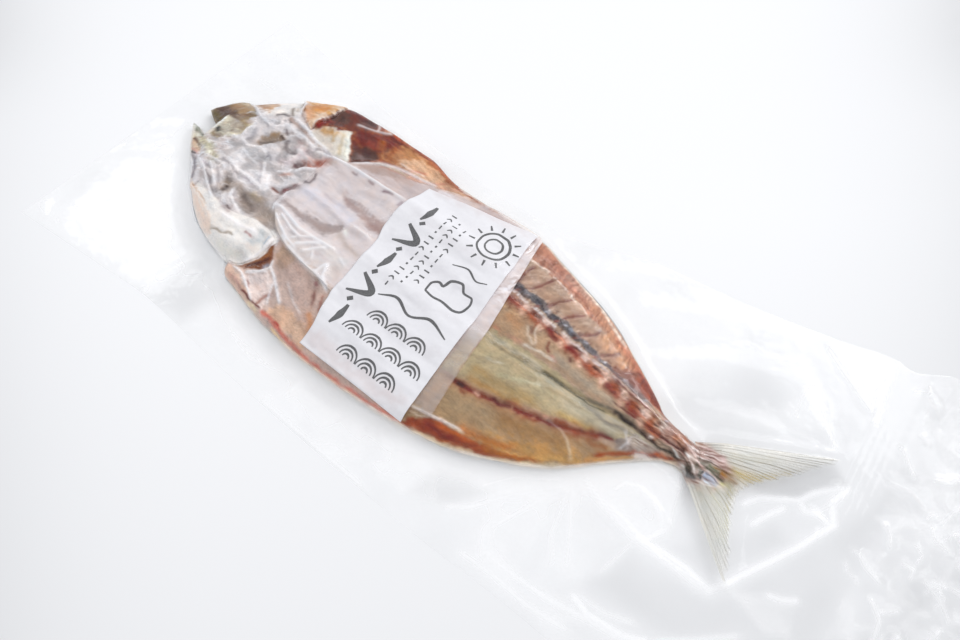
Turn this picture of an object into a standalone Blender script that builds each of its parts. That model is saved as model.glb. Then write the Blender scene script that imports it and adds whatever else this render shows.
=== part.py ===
"""A butterflied dried mackerel scad, sealed under vacuum in a clear plastic pouch.

The pouch is one closed solid. Its back is flat and rests on the table, and its
front follows the film as it is drawn down over the opened fish, its tail fin
and the empty film round them. +X runs from the snout to the tail, +Y towards
the half of the fish that keeps the backbone, and +Z is up.

Places and heights below are in millimetres, measured from the fish's snout on
the table. They are scaled to metres, and moved so that the middle of the
pouch's back is the origin, when the mesh is made.
"""
import math
import random

import bmesh
import bpy
import numpy

MILLIMETRE = 0.001
SEED = 11

# The pouch's outline, seen from above
HEAD_END_X = -30.5
HEAD_END_LEAN = 2.5
MOUTH_END_X = 354.0
MOUTH_END_LEAN = -5.0
MOUTH_END_WAVE = 1.4
MOUTH_END_WAVES = 3.5
BACKBONE_SIDE = [
    (-30, 78), (0, 72), (50, 62), (95, 57), (130, 54), (155, 54.5), (196, 66),
    (233, 71), (270, 79), (288, 83.5), (293, 82.5), (308, 90), (354, 93),
]
BELLY_SIDE = [
    (-30, -77), (18, -73), (45, -71), (100, -74), (178, -75), (228, -73.5),
    (290, -77), (310, -81), (354, -85),
]

# The film where it is empty
FILM_THICKNESS = 1.2
FILM_RIPPLE = 0.35
FILM_RIPPLE_LENGTH = 31.0
FILM_PULL = 0.24
FILM_ROUNDS = 90

# The heat seal across the pouch, and the crinkled mouth beyond it
SEAL_X = 297.0
SEAL_LEAN = -0.035
SEAL_WIDTH = 12.0
SEAL_THICKNESS = 0.9
CRINKLES = 34
CRINKLE_LENGTH = (9.0, 24.0)
CRINKLE_HEIGHT = (1.0, 2.9)

# The opened fish: outline, thickness along the body, and its cross-section
BACKBONE_EDGE = [
    (-4, 7.5), (0, 13), (5, 20), (15, 28.5), (25, 38), (31, 42.5), (46, 50),
    (67, 50.3), (90, 49.5), (108, 45), (137, 44), (154, 43), (174, 36.5),
    (189, 31), (208, 21), (227.5, 10.3), (243, 6.2), (252, 8),
]
BELLY_EDGE = [
    (-4, -2), (3, -10), (10, -16.5), (20, -26), (36.5, -36), (52, -40.3),
    (60, -41), (64, -46.3), (70, -47.6), (92, -52), (114, -53.4), (137, -52.5),
    (159, -50), (175, -47), (194, -39), (209, -30), (221, -18.7), (231, -9.5),
    (243, -3), (252, -5),
]
THICKNESS = [
    (-5, 6.5), (8, 9), (24, 11), (45, 12.5), (65, 12.5), (85, 11), (150, 10.5),
    (180, 10), (205, 8.8), (225, 7.2), (243, 5.4), (252, 4.2),
]
SNOUT_X = -4.5
TAIL_ROOT_X = 252.0
EDGE_SHARE = 0.42
CROWN_POWER = 3.2

# Forms that stand out of the fish or sink into it: centre, radii, turn, height
SWELLS = [
    ((40, -26), (27, 10), -33, 2.2),      # gill cover of the lower half
    ((24, 27), (20, 9), 42, 1.6),         # jaw and cheek of the upper half
    ((55, 4), (34, 13), 0, -3.4),         # opened gill cavity between the halves
    ((58, 33), (14, 7), -20, -1.6),       # hollow behind the upper gill arch
    ((90, -37), (20, 8), -12, -1.4),      # slack skin of the lower belly flap
    ((178, 24), (30, 6), -18, 0.9),       # fillet above the backbone
    ((178, -20), (34, 10), 10, 0.7),      # fillet of the lower half
]
# Ridges and grooves along the fish: path, height, width
RIDGES = [
    ([(52, 21), (75, 20.5), (100, 19), (150, 18), (200, 11), (240, 4)], 1.4, 3.4),
    ([(150, -4), (200, -4.5), (240, -2)], -1.5, 3.6),
    ([(60, -44), (72, -46), (100, -50), (150, -48)], 0.9, 2.8),
    ([(44, 46), (67, 47.5), (92, 47), (110, 43)], 1.2, 2.8),
    ([(38, 29), (50, 33), (60, 24)], 1.2, 3.0),
    ([(58, -20), (64, -29), (58, -38)], 1.4, 3.2),
    ([(66, -24), (69, -33), (63, -42)], -3.6, 3.2),
]

# The paper label under the film, which stands out by its own stiffness
LABEL_CORNERS = [(98, 31), (112, -50), (162, -48), (152, 38)]
LABEL_RISE = 0.7

# The tail fin's two lobes: path along the middle, half-width at each point, height
LOBES = [
    ([(246, 2), (264, 13), (285, 31)], [5.0, 6.5, 1.2], [5.0, 4.4, 3.2]),
    ([(245, -1), (260, -11), (273, -26)], [5.0, 6.0, 1.2], [5.0, 4.2, 3.2]),
]

# Folds where the empty film stands up in a line: path and height
FOLD_WIDTH = 3.5
FOLDS = [
    ([(219, -26), (245, -31.5), (267, -31.7), (274, -24.5), (287, -2), (294, 12.5),
      (290.5, 20), (292.5, 27)], 2.6),
    ([(264, -4), (270, 4), (281, 12), (286, 23), (292.5, 27)], 2.4),
    ([(228, -28), (237, -17.5), (250, -20), (256, -24), (245, -31.5)], 2.0),
    ([(194, -62), (205, -45), (216, -31)], 2.4),
    ([(216, -31), (225, -50), (232, -60)], 2.0),
    ([(237, -60), (248, -59.5), (264, -54.5)], 1.8),
    ([(264, 75), (290, 56)], 1.8),
    ([(268, 57), (275, 45), (285, 34)], 2.2),
    ([(212, 24), (236, 42), (264, 53)], 2.6),
    ([(236, 14), (262, 31), (280, 40)], 2.6),
    ([(62, -48), (75, -58), (90, -64), (106, -62), (120, -56)], 2.4),
    ([(122, -54), (119, -70)], 1.8),
    ([(139, -53), (136, -69)], 1.8),
    ([(155, -51), (163, -70)], 2.0),
    ([(51, -42), (44, -54), (39, -70)], 2.4),
    ([(-28, -64), (-20, -73)], 1.2),
]

# The grid that the front of the solid is made of
COLUMNS = 106
ROWS = 47

FILM_COLOUR = (0.78, 0.72, 0.67, 1.0)
FILM_ROUGHNESS = 0.18


def curve_through(points):
    """Return a smooth function that passes through the points and never overshoots."""
    xs, ys = (numpy.array(values, float) for values in zip(*points))
    steps = numpy.diff(xs)
    slopes = numpy.diff(ys) / steps
    tangents = numpy.zeros_like(ys)
    rising = slopes[:-1] * slopes[1:] > 0
    product = 2 * slopes[:-1] * slopes[1:]
    tangents[1:-1][rising] = product[rising] / (slopes[:-1] + slopes[1:])[rising]
    tangents[0], tangents[-1] = slopes[0], slopes[-1]

    def value(x):
        at = numpy.clip(x, xs[0], xs[-1])
        left = numpy.clip(numpy.searchsorted(xs, at, side="right") - 1, 0, len(steps) - 1)
        width = steps[left]
        t = (at - xs[left]) / width
        start = (1 + 2 * t) * (1 - t) ** 2 * ys[left] + t * (1 - t) ** 2 * width * tangents[left]
        end = t * t * (3 - 2 * t) * ys[left + 1] + t * t * (t - 1) * width * tangents[left + 1]
        return start + end

    return value


def path_distance(x, y, path):
    """Return how far each place is from the path, and how far along it the nearest spot is."""
    nearest = numpy.full(x.shape, numpy.inf)
    along = numpy.zeros(x.shape)
    for index, (start, end) in enumerate(zip(path, path[1:])):
        run = numpy.subtract(end, start)
        t = ((x - start[0]) * run[0] + (y - start[1]) * run[1]) / run.dot(run)
        t = numpy.clip(t, 0, 1)
        distance = numpy.hypot(x - start[0] - t * run[0], y - start[1] - t * run[1])
        closer = distance < nearest
        nearest[closer] = distance[closer]
        along[closer] = index + t[closer]
    return nearest, along


def in_quad(x, y, corners):
    """True inside a four-sided outline whose corners run anticlockwise."""
    inside = numpy.ones(x.shape, bool)
    for (x0, y0), (x1, y1) in zip(corners, corners[1:] + corners[:1]):
        inside &= (x1 - x0) * (y - y0) - (y1 - y0) * (x - x0) > 0
    return inside


def ridge(x, y, path, height, width):
    """A rounded ridge, or with a negative height a groove, that fades out at its ends."""
    distance, along = path_distance(x, y, path)
    fade = numpy.clip(4 * numpy.minimum(along, len(path) - 1 - along), 0.25, 1)
    return height * fade * numpy.exp(-((distance / width) ** 2))


def swell(x, y, centre, radii, turn, height):
    """A smooth oval rise, or with a negative height a hollow."""
    angle = math.radians(turn)
    across_x = (x - centre[0]) * math.cos(angle) + (y - centre[1]) * math.sin(angle)
    across_y = (y - centre[1]) * math.cos(angle) - (x - centre[0]) * math.sin(angle)
    return height * numpy.exp(-((across_x / radii[0]) ** 2) - (across_y / radii[1]) ** 2)


def fish_height(x, y):
    """Height of the opened fish above the table, and 0 beside it."""
    belly = curve_through(BELLY_EDGE)(x)
    backbone = curve_through(BACKBONE_EDGE)(x)
    side = numpy.abs(2 * (y - belly) / (backbone - belly) - 1)
    crown = 1 - numpy.clip(side, 0, 1) ** CROWN_POWER
    height = curve_through(THICKNESS)(x) * (EDGE_SHARE + (1 - EDGE_SHARE) * crown)
    for centre, radii, turn, rise in SWELLS:
        height = height + swell(x, y, centre, radii, turn, rise)
    for path, rise, width in RIDGES:
        height = height + ridge(x, y, path, rise, width)
    height = height + LABEL_RISE * in_quad(x, y, LABEL_CORNERS)
    inside = (side < 1) & (x > SNOUT_X) & (x < TAIL_ROOT_X)
    return numpy.where(inside, height, 0)


def tail_height(x, y):
    """Height of the tail fin's thin lobes, and 0 beside them."""
    height = numpy.zeros(x.shape)
    for path, half_widths, heights in LOBES:
        distance, along = path_distance(x, y, path)
        inside = distance < numpy.interp(along, range(len(path)), half_widths)
        height = numpy.maximum(height, inside * numpy.interp(along, range(len(path)), heights))
    return height


def seal_middle(y):
    return SEAL_X + SEAL_LEAN * y


def crinkles():
    """Short folds thrown over the loose mouth of the pouch."""
    chance = random.Random(SEED)
    folds = []
    for _ in range(CRINKLES):
        x = chance.uniform(SEAL_X + SEAL_WIDTH, MOUTH_END_X - 2)
        y = chance.uniform(BELLY_SIDE[-1][1] + 4, BACKBONE_SIDE[-1][1] - 4)
        length = chance.uniform(*CRINKLE_LENGTH)
        angle = chance.uniform(0, math.pi)
        end = (x + length * math.cos(angle), y + length * math.sin(angle))
        folds.append(([(x, y), end], chance.uniform(*CRINKLE_HEIGHT)))
    return folds


def flange_height(x, y):
    """Height of the empty film: flat, with ripples, standing folds and a pressed seal."""
    past_seal = x - seal_middle(y)
    ripple = numpy.sin(x / FILM_RIPPLE_LENGTH * 5 + y / 9) * numpy.sin(y / FILM_RIPPLE_LENGTH * 7)
    height = FILM_THICKNESS + FILM_RIPPLE * (1 + ripple) / 2
    for path, rise in FOLDS:
        height = numpy.maximum(height, FILM_THICKNESS + ridge(x, y, path, rise, FOLD_WIDTH))
    mouth = numpy.zeros(x.shape)
    for path, rise in crinkles():
        mouth = numpy.maximum(mouth, ridge(x, y, path, rise, FOLD_WIDTH))
    height = numpy.where(past_seal > SEAL_WIDTH / 2, FILM_THICKNESS + mouth, height)
    return numpy.where(numpy.abs(past_seal) <= SEAL_WIDTH / 2, SEAL_THICKNESS, height)


def drawn_film(floor):
    """Stretch the film over what lies under it: it bridges hollows and clings elsewhere."""
    film = floor.copy()
    for _ in range(FILM_ROUNDS):
        around = film[:-2, 1:-1] + film[2:, 1:-1] + film[1:-1, :-2] + film[1:-1, 2:]
        film[1:-1, 1:-1] = numpy.maximum(floor[1:-1, 1:-1], around / 4 - FILM_PULL)
    return film


def pouch_grid():
    """Return x, y and z for each point of the pouch's front, in columns from head to mouth."""
    along, across = numpy.meshgrid(
        numpy.linspace(0, 1, COLUMNS + 1), numpy.linspace(0, 1, ROWS + 1), indexing="ij"
    )
    head = HEAD_END_X + HEAD_END_LEAN * across
    wave = MOUTH_END_WAVE * numpy.sin(across * MOUTH_END_WAVES * 2 * math.pi)
    mouth = MOUTH_END_X + MOUTH_END_LEAN * across + wave
    x = head + (mouth - head) * along
    belly = curve_through(BELLY_SIDE)(x)
    backbone = curve_through(BACKBONE_SIDE)(x)
    y = belly + (backbone - belly) * across
    contents = numpy.maximum(fish_height(x, y), tail_height(x, y))
    z = drawn_film(numpy.maximum(contents, flange_height(x, y)))
    rim = numpy.zeros(z.shape, bool)
    rim[[0, -1], :] = True
    rim[:, [0, -1]] = True
    z[rim] = numpy.minimum(z[rim], FILM_THICKNESS + FILM_RIPPLE)
    return x, y, z


def pouch_mesh(name):
    """Build the closed solid: the film's front, a low edge all round, and a flat back."""
    x, y, z = pouch_grid()
    middle_x = (x.min() + x.max()) / 2
    middle_y = (y.min() + y.max()) / 2
    x, y, z = (values * MILLIMETRE for values in (x - middle_x, y - middle_y, z))
    solid = bmesh.new()
    front = [
        [solid.verts.new((x[i, j], y[i, j], z[i, j])) for j in range(ROWS + 1)]
        for i in range(COLUMNS + 1)
    ]
    for left, right in zip(front, front[1:]):
        for j in range(ROWS):
            solid.faces.new((left[j], right[j], right[j + 1], left[j + 1]))

    last = COLUMNS
    rim = [(i, 0) for i in range(last)] + [(last, j) for j in range(ROWS)]
    rim += [(i, ROWS) for i in range(last, 0, -1)] + [(0, j) for j in range(ROWS, 0, -1)]
    back = {(i, j): solid.verts.new((x[i, j], y[i, j], 0)) for i, j in rim}
    for here, beyond in zip(rim, rim[1:] + rim[:1]):
        above, above_next = front[here[0]][here[1]], front[beyond[0]][beyond[1]]
        solid.faces.new((above, back[here], back[beyond], above_next))

    for i in range(1, last - 1):
        solid.faces.new((back[i, 0], back[i, ROWS], back[i + 1, ROWS], back[i + 1, 0]))
    head_strip = [back[0, j] for j in range(ROWS + 1)] + [back[1, ROWS], back[1, 0]]
    solid.faces.new(head_strip)
    mouth_strip = [back[last, j] for j in range(ROWS, -1, -1)]
    solid.faces.new(mouth_strip + [back[last - 1, 0], back[last - 1, ROWS]])

    bmesh.ops.triangulate(solid, faces=solid.faces)
    bmesh.ops.recalc_face_normals(solid, faces=solid.faces)
    mesh = bpy.data.meshes.new(name)
    solid.to_mesh(mesh)
    solid.free()
    return mesh


def film_material():
    material = bpy.data.materials.new("clear_film")
    material.use_nodes = True
    shader = material.node_tree.nodes["Principled BSDF"]
    shader.inputs["Base Color"].default_value = FILM_COLOUR
    shader.inputs["Roughness"].default_value = FILM_ROUGHNESS
    shader.inputs["Metallic"].default_value = 0.0
    return material


def main():
    for leftover in list(bpy.data.objects):
        bpy.data.objects.remove(leftover, do_unlink=True)
    name = "sealed_pouch"
    mesh = pouch_mesh(name)
    mesh.materials.append(film_material())
    mesh.shade_smooth()
    mesh.set_sharp_from_angle(angle=math.radians(50))
    pouch = bpy.data.objects.new(name, mesh)
    bpy.context.scene.collection.objects.link(pouch)


main()
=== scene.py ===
"""Looks for a butterflied dried mackerel scad, vacuum-packed in a clear pouch.

Under the film lie the opened fish, its tail fin, a milky inner sheet and a paper
label. Places are written in millimetres from the fish's snout, as the pouch's own
dimensions are: +X towards the tail, +Y towards the half that keeps the backbone,
and +Z up from the table. place() turns them into metres in the frame's own axes.
"""

import math
import random

import bpy
import numpy as np
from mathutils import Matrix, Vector


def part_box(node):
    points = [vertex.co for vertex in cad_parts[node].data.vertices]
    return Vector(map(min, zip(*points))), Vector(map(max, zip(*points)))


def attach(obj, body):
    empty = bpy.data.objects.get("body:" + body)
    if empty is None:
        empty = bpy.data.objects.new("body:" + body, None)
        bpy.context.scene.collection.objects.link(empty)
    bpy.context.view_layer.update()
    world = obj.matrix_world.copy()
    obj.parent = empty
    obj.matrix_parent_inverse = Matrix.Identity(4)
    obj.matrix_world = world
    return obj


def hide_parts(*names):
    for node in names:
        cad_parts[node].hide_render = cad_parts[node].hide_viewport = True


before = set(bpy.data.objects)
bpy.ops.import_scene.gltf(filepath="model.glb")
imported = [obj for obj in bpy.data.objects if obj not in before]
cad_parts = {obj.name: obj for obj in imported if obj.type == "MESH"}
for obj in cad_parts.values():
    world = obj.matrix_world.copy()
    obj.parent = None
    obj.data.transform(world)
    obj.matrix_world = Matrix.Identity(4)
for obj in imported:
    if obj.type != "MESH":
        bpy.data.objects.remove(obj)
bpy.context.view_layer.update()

NODE = "sealed_pouch"
BODY = "root"
MILLIMETRE = 0.001

# The pouch's outline, seen from above
HEAD_END_X = -30.5
HEAD_END_LEAN = 2.5
MOUTH_END_X = 354.0
MOUTH_END_LEAN = -5.0
MOUTH_END_WAVE = 1.4
MOUTH_END_WAVES = 3.5
POUCH_LOW_Y = -85.0
BACKBONE_SIDE = [
    (-30, 78), (0, 72), (50, 62), (95, 57), (130, 54), (155, 54.5), (196, 66),
    (233, 71), (270, 79), (288, 83.5), (293, 82.5), (308, 90), (354, 93),
]
BELLY_SIDE = [
    (-30, -77), (18, -73), (45, -71), (100, -74), (178, -75), (228, -73.5),
    (290, -77), (310, -81), (354, -85),
]
SEAL_X = 297.0
SEAL_LEAN = -0.035
SEAL_WIDTH = 12.0

# The opened fish: outline, thickness along the body, and its cross-section
BACKBONE_EDGE = [
    (-4, 7.5), (0, 15), (5, 23.6), (12, 30.4), (22, 38), (31, 43), (46, 50),
    (67, 50.3), (90, 49.8), (108, 45.4), (137, 44.8), (154, 44), (165, 40.8), (175, 37.8), (189, 33.4),
    (200, 28.8), (208, 24.2), (218, 18.6), (226, 13.6), (230, 10.8), (237, 9.2), (243, 8.4), (248, 6.8),
    (252, 4.4),
    (254, 1.5),
]
BELLY_EDGE = [
    (-4, -2), (3, -10), (10, -16.5), (20, -26), (36.5, -36), (52, -40.3),
    (60, -41), (64, -46.3), (70, -47.6), (92, -52), (114, -53.4), (137, -52.5),
    (159, -50), (175, -47), (194, -39), (209, -30), (221, -18.7), (231, -9.5),
    (237, -4.8), (243, -2.8), (248, -2.9), (252, -1.6), (254, 1.2),
]
THICKNESS = [
    (-5, 6.5), (8, 9), (24, 11), (45, 12.5), (65, 12.5), (85, 11), (150, 10.5),
    (180, 10), (205, 8.8), (225, 7.2), (243, 5.0), (249, 3.6), (254, 1.8),
]
FISH_OUTLINE = BACKBONE_EDGE + BELLY_EDGE[::-1]
BODY_START_X = 4.5
BODY_END_X = 254.0
EDGE_SHARE = 0.42
CROWN_POWER = 3.2
RIM_ROUND = 2.4


def place(points):
    """Millimetres from the snout to metres in the frame's axes."""
    low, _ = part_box(NODE)
    shift = np.array([low[0] - HEAD_END_X * MILLIMETRE, low[1] - POUCH_LOW_Y * MILLIMETRE, 0])
    return np.asarray(points, float) * MILLIMETRE + shift


# ---------------------------------------------------------------- shapes


def curve_through(points):
    """Return a smooth function that passes through the points and never overshoots."""
    xs, ys = (np.array(values, float) for values in zip(*points))
    steps = np.diff(xs)
    slopes = np.diff(ys) / steps
    tangents = np.zeros_like(ys)
    rising = slopes[:-1] * slopes[1:] > 0
    product = 2 * slopes[:-1] * slopes[1:]
    tangents[1:-1][rising] = product[rising] / (slopes[:-1] + slopes[1:])[rising]
    tangents[0], tangents[-1] = slopes[0], slopes[-1]

    def value(x):
        at = np.clip(x, xs[0], xs[-1])
        left = np.clip(np.searchsorted(xs, at, side="right") - 1, 0, len(steps) - 1)
        width = steps[left]
        t = (at - xs[left]) / width
        start = (1 + 2 * t) * (1 - t) ** 2 * ys[left] + t * (1 - t) ** 2 * width * tangents[left]
        end = t * t * (3 - 2 * t) * ys[left + 1] + t * t * (t - 1) * width * tangents[left + 1]
        return start + end

    return value


def path_distance(x, y, path):
    """Return how far each place is from the path, and how far along it the nearest spot is."""
    nearest = np.full(x.shape, np.inf)
    along = np.zeros(x.shape)
    for index, (start, end) in enumerate(zip(path, path[1:])):
        run = np.subtract(end, start)
        t = np.clip(((x - start[0]) * run[0] + (y - start[1]) * run[1]) / run.dot(run), 0, 1)
        distance = np.hypot(x - start[0] - t * run[0], y - start[1] - t * run[1])
        closer = distance < nearest
        nearest[closer] = distance[closer]
        along[closer] = index + t[closer]
    return nearest, along


def depth_inside(x, y, outline):
    """Return how deep each place is inside the outline, negative outside it."""
    distance, _ = path_distance(x, y, list(outline) + [outline[0]])
    inside = np.zeros(x.shape, bool)
    for (x0, y0), (x1, y1) in zip(outline, list(outline[1:]) + [outline[0]]):
        if y0 != y1:
            crosses = (y0 > y) != (y1 > y)
            inside ^= crosses & (x < (x1 - x0) * (y - y0) / (y1 - y0) + x0)
    return np.where(inside, distance, -distance)


def smooth_step(value):
    value = np.clip(value, 0, 1)
    return value * value * (3 - 2 * value)


def along_path(x, y, path, width, taper=2.5):
    """Share from 0 to 1: 1 on the path, falling off over its width and towards its ends."""
    share = np.zeros(x.shape)
    low, high = np.min(path, axis=0) - 3 * width, np.max(path, axis=0) + 3 * width
    near = (x > low[0]) & (x < high[0]) & (y > low[1]) & (y < high[1])
    distance, along = path_distance(x[near], y[near], path)
    fade = smooth_step(taper * np.minimum(along, len(path) - 1 - along) + 0.35)
    share[near] = fade * np.exp(-((distance / width) ** 2))
    return share


def ridges(x, y, paths):
    """Rounded ridges, or with a negative height grooves, that fade out at their ends."""
    return sum(height * along_path(x, y, path, width) for path, height, width in paths)


def swell(x, y, centre, radii, turn, height):
    """A smooth oval rise, or with a negative height a hollow."""
    angle = math.radians(turn)
    along = (x - centre[0]) * math.cos(angle) + (y - centre[1]) * math.sin(angle)
    across = (y - centre[1]) * math.cos(angle) - (x - centre[0]) * math.sin(angle)
    return height * np.exp(-((along / radii[0]) ** 2) - (across / radii[1]) ** 2)


def mottle(x, y, size, seed):
    """Cloudy values from -1 to 1 with blotches about size millimetres across."""
    table = np.random.default_rng(seed).uniform(-1, 1, (64, 64))
    column = np.floor(x / size).astype(int)
    row = np.floor(y / size).astype(int)
    s = smooth_step(x / size - column)
    t = smooth_step(y / size - row)
    near = (1 - s) * table[column % 64, row % 64] + s * table[(column + 1) % 64, row % 64]
    far = (1 - s) * table[column % 64, (row + 1) % 64] + s * table[(column + 1) % 64, (row + 1) % 64]
    return (1 - t) * near + t * far


def streaks(x, y, turn, length, width, seed):
    """Fibres that run at an angle, from -1 to 1."""
    angle = math.radians(turn)
    along = (x * math.cos(angle) + y * math.sin(angle)) / length
    across = (y * math.cos(angle) - x * math.sin(angle)) / width + 0.8 * mottle(x, y, 4 * width, seed + 1)
    return 0.6 * mottle(along, across, 1.0, seed) + 0.5 * mottle(2 * along, 2 * across, 1.0, seed + 2)


def crumple(x, y, size, seed, stretch=1.0):
    """A net of fine raised folds, from 0 in the hollows to 1 on the crests."""
    wx = x / stretch + 0.35 * size * mottle(x, y, size * 1.7, seed + 1)
    wy = y + 0.35 * size * mottle(x, y, size * 1.7, seed + 2)
    coarse = 1 - np.abs(mottle(wx, wy, size, seed)) * 2.2
    fine = 1 - np.abs(mottle(wx, wy, size * 0.42, seed + 3)) * 2.2
    # gaps in the folds, so that they never close into rings
    coarse = coarse * smooth_step(0.6 + 1.1 * mottle(x, y, size * 1.1, seed + 4))
    fine = fine * smooth_step(0.5 + 1.3 * mottle(x, y, size * 0.6, seed + 5))
    return np.clip(0.66 * np.clip(coarse, 0, 1) + 0.55 * np.clip(fine, 0, 1), 0, 1)


# ---------------------------------------------------------------- the fish's form

# Broad forms that stand out of the fish or sink into it: centre, radii, turn, height
SWELLS = [
    ((40, -26), (27, 10), -33, 2.0),
    ((24, 27), (20, 9), 42, 1.6),
    ((55, 4), (34, 13), 0, -3.2),
    ((58, 33), (14, 7), -20, -1.6),
    ((90, -37), (20, 8), -12, -1.4),
    ((178, 24), (30, 6), -18, 0.9),
    ((178, -20), (34, 10), 10, 0.7),
]
# The backbone's white streak, from the label to the tail root
BONE_LINE = [
    (150, 15.5), (162, 14.3), (167, 13.6), (180, 12.5), (187, 11.8), (197, 9.6), (204, 8.8), (215, 7),
    (225, 5.5), (235, 4.2), (244, 3),
]
# Ridges and grooves: path, height, width
FORM_RIDGES = [
    ([(52, 21), (75, 20.5), (100, 19), (150, 18)], 1.2, 3.4),
    ([(150, -4), (200, -4.5), (240, -2)], -1.5, 3.6),
    ([(60, -44), (72, -46), (100, -50), (150, -48)], 0.9, 2.8),
    ([(44, 46), (67, 47.5), (92, 47), (110, 43)], 1.2, 2.8),
    ([(38, 29), (50, 33), (60, 24)], 1.2, 3.0),
    ([(58, -20), (64, -29), (58, -38)], 1.4, 3.2),
    ([(66, -24), (69, -33), (63, -42)], -3.6, 3.2),
    # shaded hollows of the head and the upper flap
    ([(31, -14), (38, -18), (50, -18), (64, -19)], -1.8, 3.0),
    ([(28, 8), (32, 12), (36, 15)], -1.0, 2.0),
    ([(40, 15), (42, 12), (47, 12.6)], -0.8, 1.3),
    ([(18, 2), (28, 1), (40, 3)], -0.5, 1.8),
    ([(62, 33), (70, 30), (71, 22)], -1.6, 3.0),
    ([(46, 42), (45, 33)], -1.0, 2.4),
    ([(52, 46), (62, 47)], -0.8, 2.4),
    ([(56, 40), (66, 41), (76, 42)], 0.5, 1.6),
    # fine relief of the tail half
    ([(160, -28), (172, -26.7), (181, -24.4), (192, -21.6), (206, -17), (220, -10)], -0.8, 1.0),
    ([(160, -5), (180, -5.6), (200, -4.6), (220, -1.8), (240, -1.2)], -0.8, 0.8),
    ([(162, -4.2), (180, -3.8), (200, -3)], 0.3, 0.8),
    ([(172, -9), (190, -8), (212, -6.4), (226, -4.5)], 0.4, 1.4),
    ([(156, -47), (170, -44), (186, -40.6), (200, -35), (212, -27)], 0.5, 1.5),
    ([(158, -43.4), (168, -41), (178, -39.2)], 0.3, 0.6),
    ([(160, 31.6), (170, 30.2), (180, 27.2), (187, 24.2)], 0.2, 0.8),
    ([(214, 1), (228, 1.4), (244, 1.4)], -0.5, 0.6),
    # the gill slit and creases between the two halves of the head
    ([(50, 7), (53, 11), (57, 13), (64, 18)], -1.6, 1.2),
    ([(52, -7), (57, -7), (57.3, -2), (60, 0.6), (63, 0.8)], -1.2, 0.8),
    ([(60, 10), (61.5, 6), (59, 3.5)], -0.9, 0.8),
]
# Septa between the muscle blocks of the backbone half: from the bone out to the red band
SEPTA = [
    [(158.6, 19), (158.2, 24), (159.6, 30)], [(164, 19.6), (167, 24), (169, 29.4)],
    [(173.2, 17.6), (176, 22), (179.4, 26.6)], [(181, 16.4), (184, 20), (187.2, 24)],
    [(190, 15), (194.4, 18.6), (195.4, 22)], [(200.4, 12.8), (203.6, 16), (205.4, 19)],
    [(209, 11), (211.4, 13.6), (213.6, 16)],
]
SEPTUM_DEPTH = 0.4
SEPTUM_WIDTH = 0.9
# Joints between the vertebrae, with a red lump after each
FIRST_JOINT = 158.5
JOINT_SPACING = 9.5
JOINTS = 8
LUMP_COLOURS = ((130, 56, 42), (154, 84, 64), (122, 54, 44))
# The thin membrane and film that lie crumpled over the head: size, seed and stretch of the folds
CRUMPLE = (6.5, 61, 1.9)
# how strong the painted shade in the membrane's hollows and the painted highlight on its crests are
CRUMPLE_SHADE = 0.42
CRUMPLE_SHINE = 0.50


def edges_at(x, belly=BELLY_EDGE, backbone=BACKBONE_EDGE):
    """Both edges of the fish, or of the pouch, at each x."""
    return curve_through(belly)(x), curve_through(backbone)(x)


def bone_y(x):
    return curve_through(BONE_LINE)(x)


def vertebrae(x, y):
    """A row of low beads along the backbone, with red lumps beside them."""
    open_bone = smooth_step((x - 150) / 8) * smooth_step((244 - x) / 12)
    beat = 0.5 - 0.5 * np.cos((x - FIRST_JOINT) / JOINT_SPACING * 2 * math.pi)
    off_bone = y - bone_y(x)
    slim = np.clip((215 - x) / 40, 0.4, 1)
    beads = 0.6 * np.exp(-((off_bone / slim - 2.4) / 1.5) ** 2) * (0.5 + 0.7 * beat)
    lumps = 0.8 * np.exp(-((off_bone / slim + 3.8) / 1.7) ** 2) * beat
    groove = 0.6 * np.exp(-((off_bone + 1.7) / 0.6) ** 2)
    return open_bone * (beads + lumps - groove)


def fish_height(x, y):
    """Height of the opened fish above the table."""
    belly, backbone = edges_at(x)
    side = np.abs(2 * (y - belly) / (backbone - belly) - 1)
    crown = 1 - np.clip(side, 0, 1) ** CROWN_POWER
    height = curve_through(THICKNESS)(x) * (EDGE_SHARE + (1 - EDGE_SHARE) * crown)
    height = height + sum(swell(x, y, *form) for form in SWELLS) + ridges(x, y, FORM_RIDGES)
    height = height + ridges(x, y, [(path, -SEPTUM_DEPTH, SEPTUM_WIDTH) for path in SEPTA]) + vertebrae(x, y)
    height = height + 0.16 * mottle(x, y * 2.2, 5.0, 5) + 0.12 * mottle(x * 0.5, y * 1.6, 1.6, 6)
    height = height + fold_relief(x, y) + 0.5 * crumpled(x, y)
    # the rim rounds over in its last two millimetres
    reach = np.minimum(y - belly, backbone - y)
    lip = np.sqrt(1 - (1 - np.clip(reach / RIM_ROUND, 0, 1)) ** 2)
    return height * (EDGE_SHARE + (1 - EDGE_SHARE) * lip)


def crumpled(x, y):
    """Relief of the thin membrane and film that lie crumpled over the head and the sheet."""
    zone = smooth_step(depth_inside(x, y, MEMBRANE) / 5)
    net = 1.5 * crumple(x, y, *CRUMPLE) - 0.4
    flat = smooth_step((x - 56) / 8)
    return zone * (net * (1 - flat) + flat * 0.5 * streaks(x, y, 2, 11.0, 2.4, 65))


def fold_relief(x, y):
    """How far the folds that lie on the fish stand up."""
    return ridges(x, y, [(path, 0.6 * strength, 1.15 * width) for path, width, strength in LIT_FOLDS])


# ---------------------------------------------------------------- what lies under the film

CELL = 1.0
FIELD_LOW = (-36, -92)
FIELD_HIGH = (362, 100)
field_x, field_y = np.meshgrid(
    np.arange(FIELD_LOW[0], FIELD_HIGH[0] + CELL, CELL),
    np.arange(FIELD_LOW[1], FIELD_HIGH[1] + CELL, CELL),
    indexing="ij",
)
contents = np.zeros(field_x.shape)
sheet_top = np.zeros(field_x.shape)


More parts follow.
